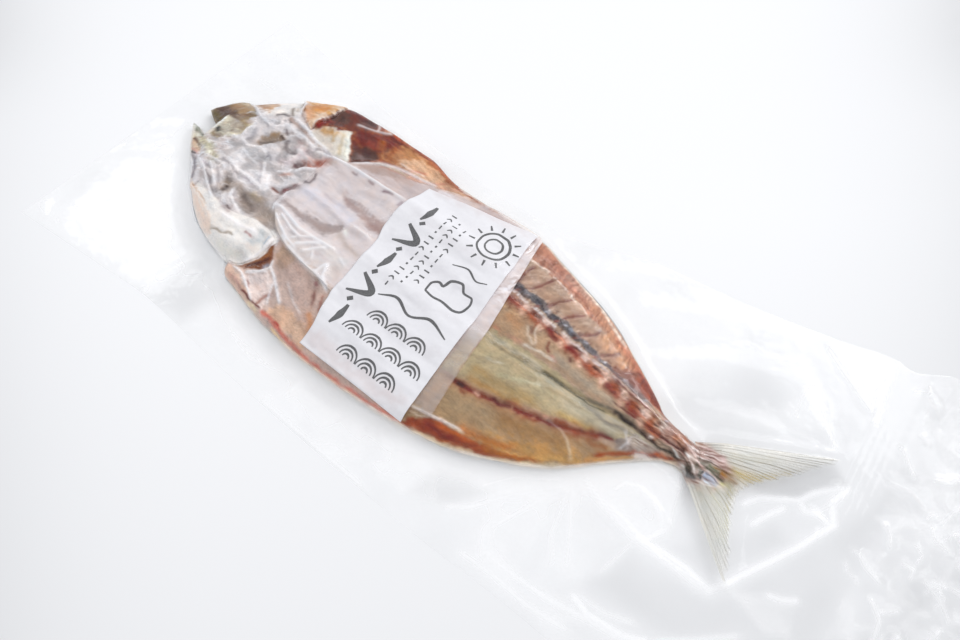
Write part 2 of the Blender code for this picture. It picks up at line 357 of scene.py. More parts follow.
def press_in(x, y, z):
    """Add a piece's highest points to the contents that the film is drawn over."""
    column = np.rint((x.ravel() - FIELD_LOW[0]) / CELL).astype(int)
    row = np.rint((y.ravel() - FIELD_LOW[1]) / CELL).astype(int)
    np.maximum.at(contents, (column, row), z.ravel())


def drawn_over(floor, pull, rounds):
    """Stretch a skin over the floor: it bridges hollows, and pull sinks it between high spots."""
    skin = floor.copy()
    for _ in range(rounds):
        around = skin[:-2, 1:-1] + skin[2:, 1:-1] + skin[1:-1, :-2] + skin[1:-1, 2:]
        skin[1:-1, 1:-1] = np.maximum(floor[1:-1, 1:-1], around / 4 - pull)
    return skin


def highest(values):
    """The highest of each place and its neighbours."""
    rows, columns = values.shape
    padded = np.pad(values, 1, mode="edge")
    return np.max([padded[i:i + rows, j:j + columns] for i in range(3) for j in range(3)], axis=0)


def softened(values, times):
    """Values blended with their neighbours."""
    for _ in range(times):
        padded = np.pad(values, 1, mode="edge")
        around = padded[:-2, 1:-1] + padded[2:, 1:-1] + padded[1:-1, :-2] + padded[1:-1, 2:]
        values = (values * 4 + around) / 8
    return values


def draped(pull, rounds, times):
    """A skin that lies on the contents, and never below them."""
    return softened(np.maximum(drawn_over(contents, pull, rounds), highest(contents)), times)


def read_height(values, x, y):
    """Read a height field between its grid points."""
    u = np.clip((x - FIELD_LOW[0]) / CELL, 0, values.shape[0] - 1.001)
    v = np.clip((y - FIELD_LOW[1]) / CELL, 0, values.shape[1] - 1.001)
    i, j = u.astype(int), v.astype(int)
    s, t = u - i, v - j
    near = values[i, j] * (1 - s) + values[i + 1, j] * s
    far = values[i, j + 1] * (1 - s) + values[i + 1, j + 1] * s
    return near * (1 - t) + far * t


# ---------------------------------------------------------------- meshes

# The lower side of a piece stays this far above the table
LOWEST_SIDE = 0.25


def quads(rows, columns, first=0):
    """Faces of a grid whose points are numbered row by row from first."""
    index = first + np.arange(rows * columns).reshape(rows, columns)
    return np.stack([index[:-1, :-1], index[1:, :-1], index[1:, 1:], index[:-1, 1:]], axis=-1).reshape(-1, 4)


def scene_object(name, data):
    """Put a mesh, a light or a camera in the scene."""
    thing = bpy.data.objects.new(name, data)
    bpy.context.scene.collection.objects.link(thing)
    return thing


def mesh_object(name, corners, faces, material, colours=None, masks=None):
    """Put a mesh with its painted colours and masks in the scene; its corners are in metres."""
    mesh = bpy.data.meshes.new(name)
    mesh.from_pydata(corners.tolist(), [], faces.tolist())
    for label, values in (masks or {}).items():
        layer = mesh.attributes.new(label, "FLOAT", "POINT")
        layer.data.foreach_set("value", values.astype(np.float32))
    if colours is not None:
        paint = np.ones((len(corners), 4))
        paint[:, :3] = colours
        layer = mesh.color_attributes.new("paint", "FLOAT_COLOR", "POINT")
        layer.data.foreach_set("color", paint.ravel().astype(np.float32))
    mesh.update()
    mesh.materials.append(material)
    return scene_object(name, mesh)


def pack_piece(name, corners, faces, material, colours=None, masks=None):
    """Add a smooth piece of the pack from corners in millimetres."""
    piece = mesh_object(name, place(corners), faces, material, colours, masks)
    piece.data.shade_smooth()
    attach(piece, BODY)
    return piece


def grid_piece(name, x, y, z, material, colours=None, masks=None, thickness=0.0):
    """Make a piece from a grid of places; thickness closes it with a lower side."""
    rows, columns = x.shape
    count = rows * columns
    faces = quads(rows, columns)
    corners = np.stack([x, y, z], axis=-1).reshape(-1, 3)
    sides = 2 if thickness else 1
    if thickness:
        lower = corners.copy()
        lower[:, 2] = np.maximum(lower[:, 2] - thickness, LOWEST_SIDE)
        corners = np.concatenate([corners, lower])
        index = np.arange(count).reshape(rows, columns)
        rim = np.concatenate([index[:, 0], index[-1, 1:], index[-2::-1, -1], index[0, -2:0:-1]])
        after = np.roll(rim, -1)
        wall = np.stack([rim, rim + count, after + count, after], axis=-1)
        faces = np.concatenate([faces, faces[:, ::-1] + count, wall])
    masks = {label: np.tile(values.ravel(), sides) for label, values in (masks or {}).items()}
    if colours is not None:
        colours = np.tile(colours.reshape(-1, 3), (sides, 1))
    return pack_piece(name, corners, faces, material, colours, masks)


def grid_of(start, end, rows, columns):
    """Values from start to end down the rows of a grid, and shares from 0 to 1 across it."""
    return np.meshgrid(np.linspace(start, end, rows), np.linspace(0, 1, columns), indexing="ij")


def smooth_line(points, count):
    """Evenly spaced places along a smooth line through the points."""
    points = np.asarray(points, float)
    along = np.concatenate([[0], np.cumsum(np.hypot(*np.diff(points, axis=0).T))])
    dense = np.linspace(0, along[-1], count * 8)
    rounded = np.stack([curve_through(list(zip(along, points[:, k])))(dense) for k in (0, 1)], axis=1)
    run = np.concatenate([[0], np.cumsum(np.hypot(*np.diff(rounded, axis=0).T))])
    even = np.linspace(0, run[-1], count)
    return np.stack([np.interp(even, run, rounded[:, k]) for k in (0, 1)], axis=1)


def between(edge_a, edge_b, rows, columns):
    """Plan of a piece between two edges: x and y, and the shares along and across it."""
    a, b = smooth_line(edge_a, rows), smooth_line(edge_b, rows)
    along, across = grid_of(0, 1, rows, columns)
    plan = a[:, None] * (1 - across[..., None]) + b[:, None] * across[..., None]
    return plan[..., 0], plan[..., 1], along, across


# ---------------------------------------------------------------- paint

# How pale the film's own veil is, and the darkest colour under it
VEIL = 0.040
DARKEST = 0.004
# Strokes on the head whose red, green and blue add up to less are drawn deeper
DARK_STROKE = 560
DEEPER = 0.28
DEEPER_FROM = 208
BROADER = 1.25


def tint(colour):
    """A colour as seen in the pack, as linear light without the film's own pale veil."""
    share = np.asarray(colour, float) / 255
    linear = np.where(share <= 0.04045, share / 12.92, ((share + 0.055) / 1.055) ** 2.4)
    return np.maximum((linear - VEIL) / (1 - VEIL), DARKEST)


def laid_over(colours, colour, share):
    """Lay a colour over others, with a share from 0 to 1 at each place."""
    share = share[..., None]
    return colours * (1 - share) + tint(colour) * share


def closed(*points):
    """An outline that ends where it starts, which makes its coat a filled one."""
    return list(points) + [points[0]]


def painted(x, y, ground, coats, wander=0.45, seed=3):
    """Lay soft-edged, slightly frayed coats of colour over a ground colour.

    A coat is (outline or path, softness or width, colour, strength). A closed coat starts
    and ends on the same spot.
    """
    wx = x + wander * mottle(x, y, 3.1, seed) + 0.45 * wander * mottle(x, y, 1.2, seed + 1)
    wy = y + wander * mottle(x, y, 3.1, seed + 2) + 0.45 * wander * mottle(x, y, 1.2, seed + 3)
    fray = 0.6 * mottle(x * 0.5, y * 1.3, 1.5, seed + 4) + 0.4 * mottle(x, y, 0.8, seed + 5)
    colours = np.broadcast_to(tint(ground), x.shape + (3,)).copy()
    for shape, spread, colour, strength in coats:
        if shape[0] == shape[-1]:
            share = np.zeros(x.shape)
            low, high = np.min(shape, axis=0) - spread, np.max(shape, axis=0) + spread
            near = (wx > low[0]) & (wx < high[0]) & (wy > low[1]) & (wy < high[1])
            depth = depth_inside(wx[near], wy[near], shape[:-1])
            share[near] = smooth_step(0.5 + depth / spread + 0.5 * fray[near])
        else:
            share = along_path(wx, wy, shape, spread, 3.0) ** (1 - 0.5 * fray)
        colours = laid_over(colours, colour, np.clip(strength * share * (1 + 0.2 * fray), 0, 1))
    return colours


def deeper(coats):
    """The thin dark strokes of the head, broadened and darkened to hold against the film's shine."""
    drawn = []
    for shape, spread, colour, strength in coats:
        if shape[0] != shape[-1] and sum(colour) < DARK_STROKE:
            colour = tuple(max(8, value - (DEEPER_FROM - value) * DEEPER) for value in colour)
            spread = spread * BROADER
        drawn.append((shape, spread, colour, strength))
    return drawn


def fish_paint(x, y, extra=()):
    """The fish's colours as they show through the film, wherever a piece of it lies, with painted shade and
    painted highlights of the folds over it.
    """
    colours = painted(x, y, GROUND, deeper(HEAD_COATS) + FLAP_COATS + TAIL_COATS + list(extra))
    for seed, (outline, softness, turn, length, width, strength) in enumerate(FIBRES):
        zone = smooth_step(0.5 + depth_inside(x, y, outline) / softness)
        swing = strength * zone * streaks(x, y, turn, length, width, 80 + 5 * seed)
        colours = colours * (1 + swing[..., None] * FIBRE_HUE)
    # painted shade in the hollows and painted highlights on the crests of the crumpled membrane
    zone = smooth_step(depth_inside(x, y, MEMBRANE) / 3) * (1 - 0.85 * smooth_step((x - 54) / 8))
    net = crumple(x, y, *CRUMPLE)
    colours = laid_over(colours, HOLLOW_SHADE, CRUMPLE_SHADE * zone * smooth_step((0.28 - net) / 0.28))
    colours = laid_over(colours, FOLD_HIGHLIGHT, CRUMPLE_SHINE * zone * smooth_step((net - 0.5) / 0.5))
    # cream skin shows along the cut rim
    belly, backbone = edges_at(x)
    reach = np.minimum(y - belly, backbone - y)
    cream = smooth_step(1.2 - reach / 0.9) * smooth_step((x - 98) / 12) * smooth_step((246 - x) / 6)
    colours = laid_over(colours, CREAM_SKIN, cream * (0.5 + 0.4 * mottle(x, y, 3.0, 77)))
    # painted highlights along the crests of the folds
    for path, width, strength in LIT_FOLDS:
        colours = laid_over(colours, FOLD_HIGHLIGHT, strength * along_path(x, y, path, width, 3.0))
    return colours


# ---------------------------------------------------------------- node groups and materials


def feed(tree, node, sockets):
    """Give each socket another node's output to follow, or a value to hold."""
    for label, value in sockets.items():
        if isinstance(value, bpy.types.NodeSocket):
            tree.links.new(value, node.inputs[label])
        else:
            node.inputs[label].default_value = value
    return node


def add(tree, kind, sockets=None, **settings):
    """Add a node with its settings, and feed its sockets."""
    node = tree.nodes.new(kind)
    for label, value in settings.items():
        setattr(node, label, value)
    return feed(tree, node, sockets or {})


def maths(tree, operation, *values):
    """The result of a Math node on outputs and plain numbers."""
    return add(tree, "ShaderNodeMath", dict(enumerate(values)), operation=operation).outputs[0]


def new_group(name, inputs, outputs):
    """Start a shader node group with named sockets, and return it with its two ends."""
    group = bpy.data.node_groups.new(name, "ShaderNodeTree")
    for label, kind, value in inputs:
        socket = group.interface.new_socket(label, in_out="INPUT", socket_type=kind)
        socket.default_value = value
    for label, kind in outputs:
        group.interface.new_socket(label, in_out="OUTPUT", socket_type=kind)
    return group, group.nodes.new("NodeGroupInput"), group.nodes.new("NodeGroupOutput")


def dried_grain_group():
    """Fibres and mottling of dried flesh and skin: a tinted colour, a roughness and a height."""
    group, start, end = new_group(
        "dried_grain",
        [
            ("Colour", "NodeSocketColor", (0.5, 0.4, 0.3, 1)),
            ("Fibre Size", "NodeSocketFloat", 900.0),
            ("Mottle Size", "NodeSocketFloat", 180.0),
            ("Mottle", "NodeSocketFloat", 0.9),
            ("Roughness", "NodeSocketFloat", 0.4),
        ],
        [("Colour", "NodeSocketColor"), ("Roughness", "NodeSocketFloat"), ("Height", "NodeSocketFloat")],
    )
    given = start.outputs
    where = add(group, "ShaderNodeTexCoord").outputs["Object"]
    stretched = add(group, "ShaderNodeMapping", {"Vector": where, "Scale": (0.42, 1.0, 1.0)})
    fibres = add(group, "ShaderNodeTexNoise", {
        "Vector": stretched.outputs["Vector"], "Scale": given["Fibre Size"], "Detail": 5.0, "Roughness": 0.68,
    }).outputs["Fac"]
    blotches = add(group, "ShaderNodeTexNoise", {
        "Vector": where, "Scale": given["Mottle Size"], "Detail": 5.0, "Roughness": 0.62,
    }).outputs["Fac"]
    both = maths(group, "ADD", fibres, blotches)
    swing = maths(group, "SUBTRACT", both, 1.0)
    amount = maths(group, "MULTIPLY_ADD", swing, given["Mottle"], 1.0)
    lit = add(group, "ShaderNodeVectorMath", {0: given["Colour"], "Scale": amount}, operation="SCALE")
    # the blotches also turn the colour a little from warm to cool
    warmer = add(group, "ShaderNodeMapRange", {
        "Value": blotches, "From Min": 0.3, "From Max": 0.7, "To Min": 0.96, "To Max": 1.04,
    }).outputs["Result"]
    cooler = maths(group, "SUBTRACT", 2.0, warmer)
    turn = add(group, "ShaderNodeCombineXYZ", {"X": warmer, "Y": 1.0, "Z": cooler})
    turned = add(group, "ShaderNodeVectorMath", {0: lit.outputs["Vector"], 1: turn.outputs["Vector"]},
                 operation="MULTIPLY")
    wet = maths(group, "MULTIPLY_ADD", swing, 0.35, given["Roughness"])
    feed(group, end, {"Colour": turned.outputs["Vector"], "Roughness": wet, "Height": both})
    return group


def new_material(name):
    material = bpy.data.materials.new(name)
    material.use_nodes = True
    return material, material.node_tree, material.node_tree.nodes["Principled BSDF"]


def attribute(tree, label, output="Fac"):
    return add(tree, "ShaderNodeAttribute", attribute_name=label).outputs[output]


def painted_material(name, fibre=1900.0, mottling=0.9, roughness=0.42, bump=0.25, cover=False):
    """Dried flesh, bone or skin: its painted zones with grain over them."""
    material, tree, shader = new_material(name)
    grain = add(tree, "ShaderNodeGroup", {
        "Colour": attribute(tree, "paint", "Color"),
        "Fibre Size": fibre,
        "Mottle": mottling,
        "Roughness": roughness,
    }, node_tree=GRAIN).outputs
    relief = add(tree, "ShaderNodeBump", {"Strength": bump, "Distance": 0.0006, "Height": grain["Height"]})
    feed(tree, shader, {
        "Base Color": grain["Colour"],
        "Roughness": grain["Roughness"],
        "Normal": relief.outputs["Normal"],
        # wet film clings to it, so little of the gloss is its own
        "Specular IOR Level": 0.2,
    })
    if cover:
        feed(tree, shader, {"Alpha": attribute(tree, "cover")})
    return material


FILM_GLOSS = 0.07
FILM_IOR = 1.3
MOST_SHINE = 0.08


def film_material(name, haze, wrinkle):
    """Clear plastic film: see-through, with gloss from Fresnel, a faint milky haze, and white diffuse where
    its mask paints highlights and sheen.
    """
    material, tree, shader = new_material(name)
    tree.nodes.remove(shader)
    where = add(tree, "ShaderNodeTexCoord").outputs["Object"]
    wrinkles = add(tree, "ShaderNodeTexNoise", {
        "Vector": where, "Scale": 95.0, "Detail": 3.0, "Distortion": 0.8,
    })
    relief = add(tree, "ShaderNodeBump", {
        "Strength": maths(tree, "ADD", attribute(tree, "slack"), wrinkle),
        "Distance": 0.001,
        "Height": wrinkles.outputs["Fac"],
    }).outputs["Normal"]
    left = maths(tree, "SUBTRACT", 1.0, attribute(tree, "shade"))
    dimmed = add(tree, "ShaderNodeVectorMath", {0: (0.996, 0.9965, 0.997), "Scale": left}, operation="SCALE")
    clear = add(tree, "ShaderNodeBsdfTransparent", {"Color": dimmed.outputs["Vector"]})
    # white diffuse for the faint haze and for the painted highlights and sheen
    milk = add(tree, "ShaderNodeBsdfDiffuse", {"Color": (0.99, 0.99, 1.0, 1)})
    gloss = add(tree, "ShaderNodeBsdfGlossy", {
        "Color": (1, 1, 1, 1), "Roughness": FILM_GLOSS, "Normal": relief,
    })
    cloud = add(tree, "ShaderNodeTexNoise", {"Vector": where, "Scale": 28.0, "Detail": 4.0})
    clouded = add(tree, "ShaderNodeMapRange", {
        "Value": cloud.outputs["Fac"], "From Min": 0.35, "From Max": 0.7,
        "To Min": haze * 0.4, "To Max": haze * 1.6,
    })
    # the faint haze, and the painted highlights and sheen from the mask
    total = maths(tree, "ADD", clouded.outputs["Result"], attribute(tree, "haze_and_sheen"))
    # thin film hardly dims the light on what is under it, so it only shows to the eye
    seen = add(tree, "ShaderNodeLightPath").outputs["Is Camera Ray"]
    milky = maths(tree, "MULTIPLY", total, seen)
    body = add(tree, "ShaderNodeMixShader", {0: milky, 1: clear.outputs[0], 2: milk.outputs[0]})
    fresnel = add(tree, "ShaderNodeFresnel", {"IOR": FILM_IOR, "Normal": relief})
    # seen edge-on, two loose skins of film still let most of the table through
    capped = maths(tree, "MINIMUM", fresnel.outputs[0], MOST_SHINE)
    shine = maths(tree, "MULTIPLY", capped, seen)
    whole = add(tree, "ShaderNodeMixShader", {0: shine, 1: body.outputs[0], 2: gloss.outputs[0]})
    feed(tree, tree.nodes["Material Output"], {"Surface": whole.outputs[0]})
    return material


def paper_material():
    material, tree, shader = new_material("white_label_paper")
    where = add(tree, "ShaderNodeTexCoord").outputs["Object"]
    fibres = add(tree, "ShaderNodeTexNoise", {"Vector": where, "Scale": 700.0, "Detail": 5.0}).outputs["Fac"]
    shade = add(tree, "ShaderNodeMapRange", {"Value": fibres, "To Min": 0.93, "To Max": 1.0})
    lit = add(tree, "ShaderNodeVectorMath", {
        0: attribute(tree, "paint", "Color"), "Scale": shade.outputs["Result"],
    }, operation="SCALE")
    relief = add(tree, "ShaderNodeBump", {"Strength": 0.12, "Distance": 0.0003, "Height": fibres})
    feed(tree, shader, {
        "Base Color": lit.outputs["Vector"], "Roughness": 0.7, "Normal": relief.outputs["Normal"],
    })
    return material


def ink_material():
    material, tree, shader = new_material("grey_label_ink")
    where = add(tree, "ShaderNodeTexCoord").outputs["Object"]
    speckle = add(tree, "ShaderNodeTexNoise", {"Vector": where, "Scale": 1400.0}).outputs["Fac"]
    dry = add(tree, "ShaderNodeMix", {
        "Factor": speckle, "A": (0.05, 0.05, 0.052, 1), "B": (0.16, 0.16, 0.165, 1),
    }, data_type="RGBA")
    feed(tree, shader, {"Base Color": dry.outputs["Result"], "Roughness": 0.6})
    return material


GRAIN = dried_grain_group()

# ---------------------------------------------------------------- colours as they show in the pack

# Each coat of paint is (outline or path, softness or width, colour, strength)
# painted highlight on the crests of folds
FOLD_HIGHLIGHT = (246, 243, 245)
# painted shade in the hollows of the crumpled membrane
HOLLOW_SHADE = (132, 121, 118)
CREAM_SKIN = (238, 220, 194)
GROUND = (184, 158, 138)

HEAD_COATS = [
    (closed((-14, 32), (-14, -10), (5, -20), (20, -32), (45, -46), (66, -48), (76, -24), (74, 20.5), (52, 21),
            (44, 27), (36, 34), (24, 46), (8, 40)), 1.5, (218, 212, 213), 1.0),
    # pale cheek behind the upper jaw, with its peach band
    (closed((0, 22), (8, 35), (20, 44), (30, 37), (33, 28), (24, 21), (12, 20)), 2.0, (236, 230, 226), 0.95),
    (closed((2, 24), (5, 28), (12, 30.6), (20, 28), (20.6, 22.6), (12, 22), (5, 23.4)), 2.4,
            (188, 152, 120), 0.98),
    ([(9, 25.4), (12.6, 24), (18, 23)], 1.4, (170, 134, 106), 0.9),
    ([(2, 26), (6, 24.6), (10, 23.6)], 0.6, (168, 162, 156), 0.7),
    # upper jaw
    (closed((-12, 10), (-7, 17), (-1, 24), (6, 24), (13, 20.8), (17.5, 17), (14, 12), (8, 10.5), (3, 9),
            (-1, 5.5), (-8, 6)), 1.5, (150, 128, 98), 1.0),
    (closed((-8, 12), (-5, 16.6), (4, 16), (10, 12), (4, 8.4), (-4, 8.6)), 4.0, (86, 68, 38), 0.98),
    ([(-6, 15), (-1, 14), (6, 12)], 1.8, (118, 98, 70), 0.9),
    ([(-9, 10), (-4, 9), (1, 7.4)], 1.4, (126, 116, 82), 0.8),
    ([(-9.5, 11), (-6, 17), (-1, 22.6)], 0.8, (176, 164, 138), 0.8),
    ([(-2, 18.4), (6, 17.8), (12, 16.8)], 2.4, (168, 138, 106), 0.7),
    ([(2, 22.4), (8, 21.6), (13, 19.2)], 1.0, (194, 174, 150), 0.8),
    ([(11.6, 13.6), (14.4, 13)], 0.9, (126, 114, 114), 0.8),
    ([(8, 12.6), (11, 14.4), (14, 16)], 1.0, (146, 124, 110), 0.6),
    ([(10, 21.6), (17, 19), (22, 16.6), (27, 15.4)], 0.6, (162, 158, 161), 0.8),
    # tongue
    (closed((4, 11), (9, 10), (15, 12), (19.5, 12.5), (19, 6), (14, 3), (12, -1.5), (4, -2)), 2.0,
            (208, 199, 177), 0.9),
    ([(12, 12.4), (17, 11), (18, 8)], 1.5, (180, 160, 128), 0.85),
    ([(6.4, 2.8), (8, 2), (9.4, 1.4)], 1.2, (78, 70, 52), 0.95),
    ([(6, 0), (10, -1), (12.5, -0.8)], 1.0, (142, 124, 102), 0.8),
    ([(7, 9.5), (9, 7), (11, 5.5)], 1.3, (218, 212, 190), 0.7),
    ([(12.6, 6), (14.2, 4.4)], 0.7, (168, 158, 138), 0.8),
    ([(14, 2.4), (16, 1.6)], 0.9, (176, 172, 160), 0.7),
    ([(4.8, 9.4), (5, 3), (5, -3)], 0.9, (234, 231, 226), 0.8),
    # lower jaw and the striped folds beside it
    (closed((-11, 0), (-3, -7), (5, -13.6), (10, -11), (6, -5), (0, -1.6), (-6, 1.5)), 1.2, (214, 206, 188),
            0.9),
    ([(-9, 0.6), (-4, -0.8), (1, -2.4), (5, -4)], 0.7, (138, 142, 134), 0.85),
    ([(-5, -1.6), (-1.4, -3)], 0.9, (126, 128, 114), 0.8),
    ([(-6, -4), (0, -6.6), (4, -8.8)], 1.1, (226, 206, 174), 0.85),
    ([(0, -6.6), (4, -7.2), (8, -8.4)], 0.8, (128, 100, 82), 0.9),
    ([(0, -8), (5, -9.4), (10, -11)], 0.8, (200, 170, 150), 0.7),
    ([(4, -10.8), (10, -12)], 0.5, (204, 160, 150), 0.8),
    ([(5.4, -12.4), (9.6, -12.7)], 0.45, (104, 92, 98), 0.9),
    ([(7, -13.6), (12, -15.2), (16, -18.4), (20, -23.6)], 0.85, (146, 140, 145), 0.85),
    ([(10, -13), (16, -14.4), (22, -15.4)], 0.6, (178, 170, 178), 0.7),
    ([(4, -5.4), (10, -6.2), (16, -8.2), (22, -11)], 1.7, (194, 187, 160), 0.85),
    ([(8, -3.4), (11.4, -5)], 0.8, (246, 246, 240), 0.95),
    ([(13, -8), (19, -9.6)], 0.7, (226, 220, 204), 0.8),
    ([(22, -16.6), (28, -19.4), (36, -24)], 0.6, (148, 140, 142), 0.8),
    ([(26, -13), (31, -17), (37, -22.6)], 0.6, (160, 152, 154), 0.6),
    # folded lining of the mouth
    (closed((17, 2.6), (24, 3), (33, 4.6), (42, 4), (38, 0), (28, -1), (18, -0.6)), 2.5, (186, 184, 186),
            0.7),
    ([(20, -3), (34, -4.4), (46, -4)], 2.6, (222, 218, 219), 0.8),
    (closed((27, 6.4), (27.6, 11), (31, 15), (35, 16.2), (38.4, 15.4), (35, 12.6), (32, 9.4), (29.4, 6.2)),
            1.6, (180, 157, 136), 0.95),
    ([(28.6, 7.4), (30, 9), (33.4, 12)], 0.9, (104, 96, 92), 0.9),
    ([(33.4, 15), (36, 14.9), (38.2, 14.6)], 0.6, (104, 88, 84), 0.9),
    ([(29.6, 13), (32.4, 14.8)], 1.0, (182, 156, 126), 0.8),
    ([(39, 15.4), (40.6, 11.8), (43.6, 11.4), (47.2, 12.6)], 1.1, (132, 126, 127), 0.9),
    ([(42, 18.8), (46, 17)], 1.3, (186, 168, 166), 0.8),
    ([(33, 18.6), (35, 17.8), (37, 17)], 0.5, (142, 132, 133), 0.9),
    ([(24.6, 22), (26.6, 24.2), (30, 25.2)], 0.75, (132, 128, 130), 0.9),
    ([(30.6, 24.6), (32, 23.4), (34, 22.8)], 0.7, (104, 98, 100), 0.9),
    ([(29.6, 22.4), (32, 20.8)], 0.6, (164, 160, 165), 0.8),
    ([(26.6, 31), (28.6, 27.6), (31, 26)], 0.7, (140, 129, 120), 0.85),
    ([(22.6, 12), (24.2, 9), (23, 5)], 0.8, (184, 180, 184), 0.8),
    ([(36.2, 6.4), (37.6, 4.8), (36.4, 3)], 0.5, (160, 156, 160), 0.85),
    ([(38, 4.6), (41, 3)], 0.5, (166, 161, 165), 0.8),
    ([(36, 2), (42, -4), (48, -10)], 0.5, (190, 184, 190), 0.7),
    ([(23.6, -8.2), (30, -9), (36, -11)], 0.45, (170, 164, 167), 0.85),
    ([(37.6, -10.9), (42, -10.2), (46, -11.2)], 0.5, (178, 170, 175), 0.8),
    ([(42, 5), (48, 8), (49, 14), (54, 17)], 2.0, (216, 200, 202), 0.7),
    ([(43, 15), (47, 15), (51, 16)], 0.8, (190, 172, 172), 0.6),
    # slits between the two halves of the head
    ([(50.4, 8.4), (52, 9.6), (53.6, 10.4)], 1.4, (118, 50, 36), 0.95),
    ([(53, 11.6), (58, 14), (63.4, 17.6)], 1.7, (204, 160, 148), 0.95),
    ([(56, 13.4), (61, 16.4)], 0.5, (180, 124, 112), 0.8),
    ([(49.6, 6.6), (50.2, 9)], 0.5, (122, 96, 98), 0.9),
    ([(60, 10.2), (61.8, 7.6), (61.8, 5), (59, 4)], 0.6, (128, 116, 119), 0.95),
    ([(52, -7), (56, -7.2)], 0.6, (146, 108, 96), 0.9),
    ([(56.8, -7.2), (57.2, -2), (58.6, 0.6), (62, 0.9)], 0.9, (122, 56, 34), 0.98),
    ([(57, -6), (57.1, -2.4)], 0.45, (150, 72, 52), 0.9),
    ([(48.6, 0.4), (52, 3.6)], 0.8, (206, 172, 160), 0.8),
    ([(58, -9), (61, -11), (62, -14)], 0.8, (180, 170, 172), 0.7),
    # seam above the lining
    ([(30, 24.6), (36, 23.6), (43, 22), (50, 20.4)], 0.7, (190, 170, 162), 0.85),
    ([(37.6, 23.8), (44, 22.6)], 0.45, (172, 148, 138), 0.8),
    ([(52, 19), (60, 19), (72, 19.3)], 0.4, (178, 168, 170), 0.8),
    ([(36, 19), (44, 18.6), (50, 17.6)], 0.5, (176, 164, 164), 0.7),
    # cheek flap
    (closed((21.4, 41.6), (27, 46.6), (35, 49.6), (41.5, 49), (44, 44), (43.6, 36), (42.8, 25.4), (38, 28),
            (34, 32), (29, 36)), 1.2, (226, 200, 176), 1.0),
    (closed((24, 41), (29, 44), (36, 45.4), (41.4, 44.6), (41.8, 38), (36, 34.4), (31, 37)), 6.0,
            (206, 158, 98), 0.98),
    ([(32, 39), (36, 38.4), (40, 38.4)], 3.4, (196, 142, 70), 0.9),
    ([(33, 37), (36.4, 33), (40, 30)], 1.6, (206, 156, 104), 0.8),
    ([(21.6, 41), (25, 44.4), (31, 48), (39, 49.6)], 2.4, (246, 242, 236), 0.95),
    ([(30, 47), (38, 48.8)], 1.3, (236, 222, 200), 0.8),
    ([(34, 33), (40, 28)], 1.8, (216, 177, 150), 0.8),
    ([(30, 36.4), (34.4, 30.6)], 1.3, (200, 156, 124), 0.8),
    ([(43.4, 46), (43.5, 38), (42.8, 28)], 0.6, (236, 228, 220), 0.9),
    ([(24, 38), (28, 34), (30, 29)], 0.7, (194, 184, 176), 0.8),
    ([(22, 40.6), (26, 37), (29, 34)], 0.5, (160, 144, 130), 0.8),
    ([(29.4, 36.6), (34.2, 30)], 0.4, (134, 112, 96), 0.7),
    # plate behind the upper jaw
    (closed((44, 25), (46, 30), (50, 34), (54, 36.8), (57, 35.4), (63, 29), (69.8, 20.6), (62, 20.4),
            (52, 21), (46, 23)), 1.1, (222, 214, 203), 1.0),
    ([(55, 36), (60, 30.4), (68, 21.6)], 1.9, (246, 246, 236), 0.95),
    ([(53.6, 34), (59.6, 26.4), (64, 21.6)], 0.6, (200, 184, 156), 0.7),
    ([(46, 29), (49, 29), (51.6, 31)], 2.2, (192, 156, 112), 0.85),
    ([(52.6, 33), (53, 29), (56, 25)], 0.7, (196, 168, 128), 0.7),
    ([(45, 25.6), (52, 24), (60, 22)], 1.3, (212, 200, 190), 0.8),
    ([(58, 31), (62, 26.6), (66, 22)], 0.35, (206, 196, 170), 0.6),
    # shaded fold between the mouth and the gill cover
    (closed((30, -12.4), (38, -13.4), (48, -14.2), (56, -13), (64, -16.4), (72, -20.4), (67, -23),
            (58, -22.6), (50, -22), (46, -19.4), (41, -17.6), (39.4, -22), (36, -21), (32.6, -17)), 3.0,
            (182, 168, 160), 0.95),
    ([(36.8, -17), (38.4, -21.2)], 1.1, (104, 94, 90), 0.95),
    ([(33, -14.2), (37, -16.6)], 1.1, (148, 134, 121), 0.85),
    ([(45, -16.8), (50, -18.6), (55, -20)], 1.2, (126, 116, 110), 0.85),
    ([(47.6, -14.6), (54, -14.2)], 1.0, (196, 181, 160), 0.8),
    ([(57, -17.4), (66, -19.6)], 2.8, (178, 166, 158), 0.85),
    ([(41, -17.6), (45.6, -21), (48, -25.4)], 0.7, (184, 176, 177), 0.8),
    # gill cover
    (closed((19.5, -25), (30, -33), (40, -38.4), (50, -42), (60, -43), (68, -40), (72.6, -31), (73.4, -25),
            (71, -22), (60, -22.8), (50, -25), (44, -26.4), (34, -24), (26, -23)), 1.2, (239, 234, 230),
            1.0),
    (closed((19, -23.6), (28, -26.4), (36, -29), (44, -33), (49, -37.4), (44, -38.6), (36, -35.4),
            (28, -31), (20, -26.4)), 1.6, (236, 218, 206), 0.95),
    ([(27, -28.4), (36, -32.2), (45, -36)], 1.3, (240, 218, 204), 0.85),
    ([(50, -29.4), (57, -31.4), (65, -34)], 3.2, (252, 249, 246), 0.85),
    ([(22, -24.8), (34, -29.8), (44, -33.8)], 0.4, (244, 232, 224), 0.8),
    ([(21, -24.4), (28, -26.6), (38, -29.2)], 0.4, (214, 190, 172), 0.8),
    ([(46.6, -35.8), (52, -35), (55, -33.6), (58.4, -33.3)], 0.4, (176, 164, 152), 0.75),
    ([(53, -38.4), (60, -39), (66, -36.6)], 1.7, (229, 227, 220), 0.8),
    ([(66.2, -24), (66.8, -28), (66, -32)], 1.1, (206, 210, 212), 0.8),
    ([(69.4, -24.4), (70, -28.6)], 1.1, (192, 203, 214), 0.9),
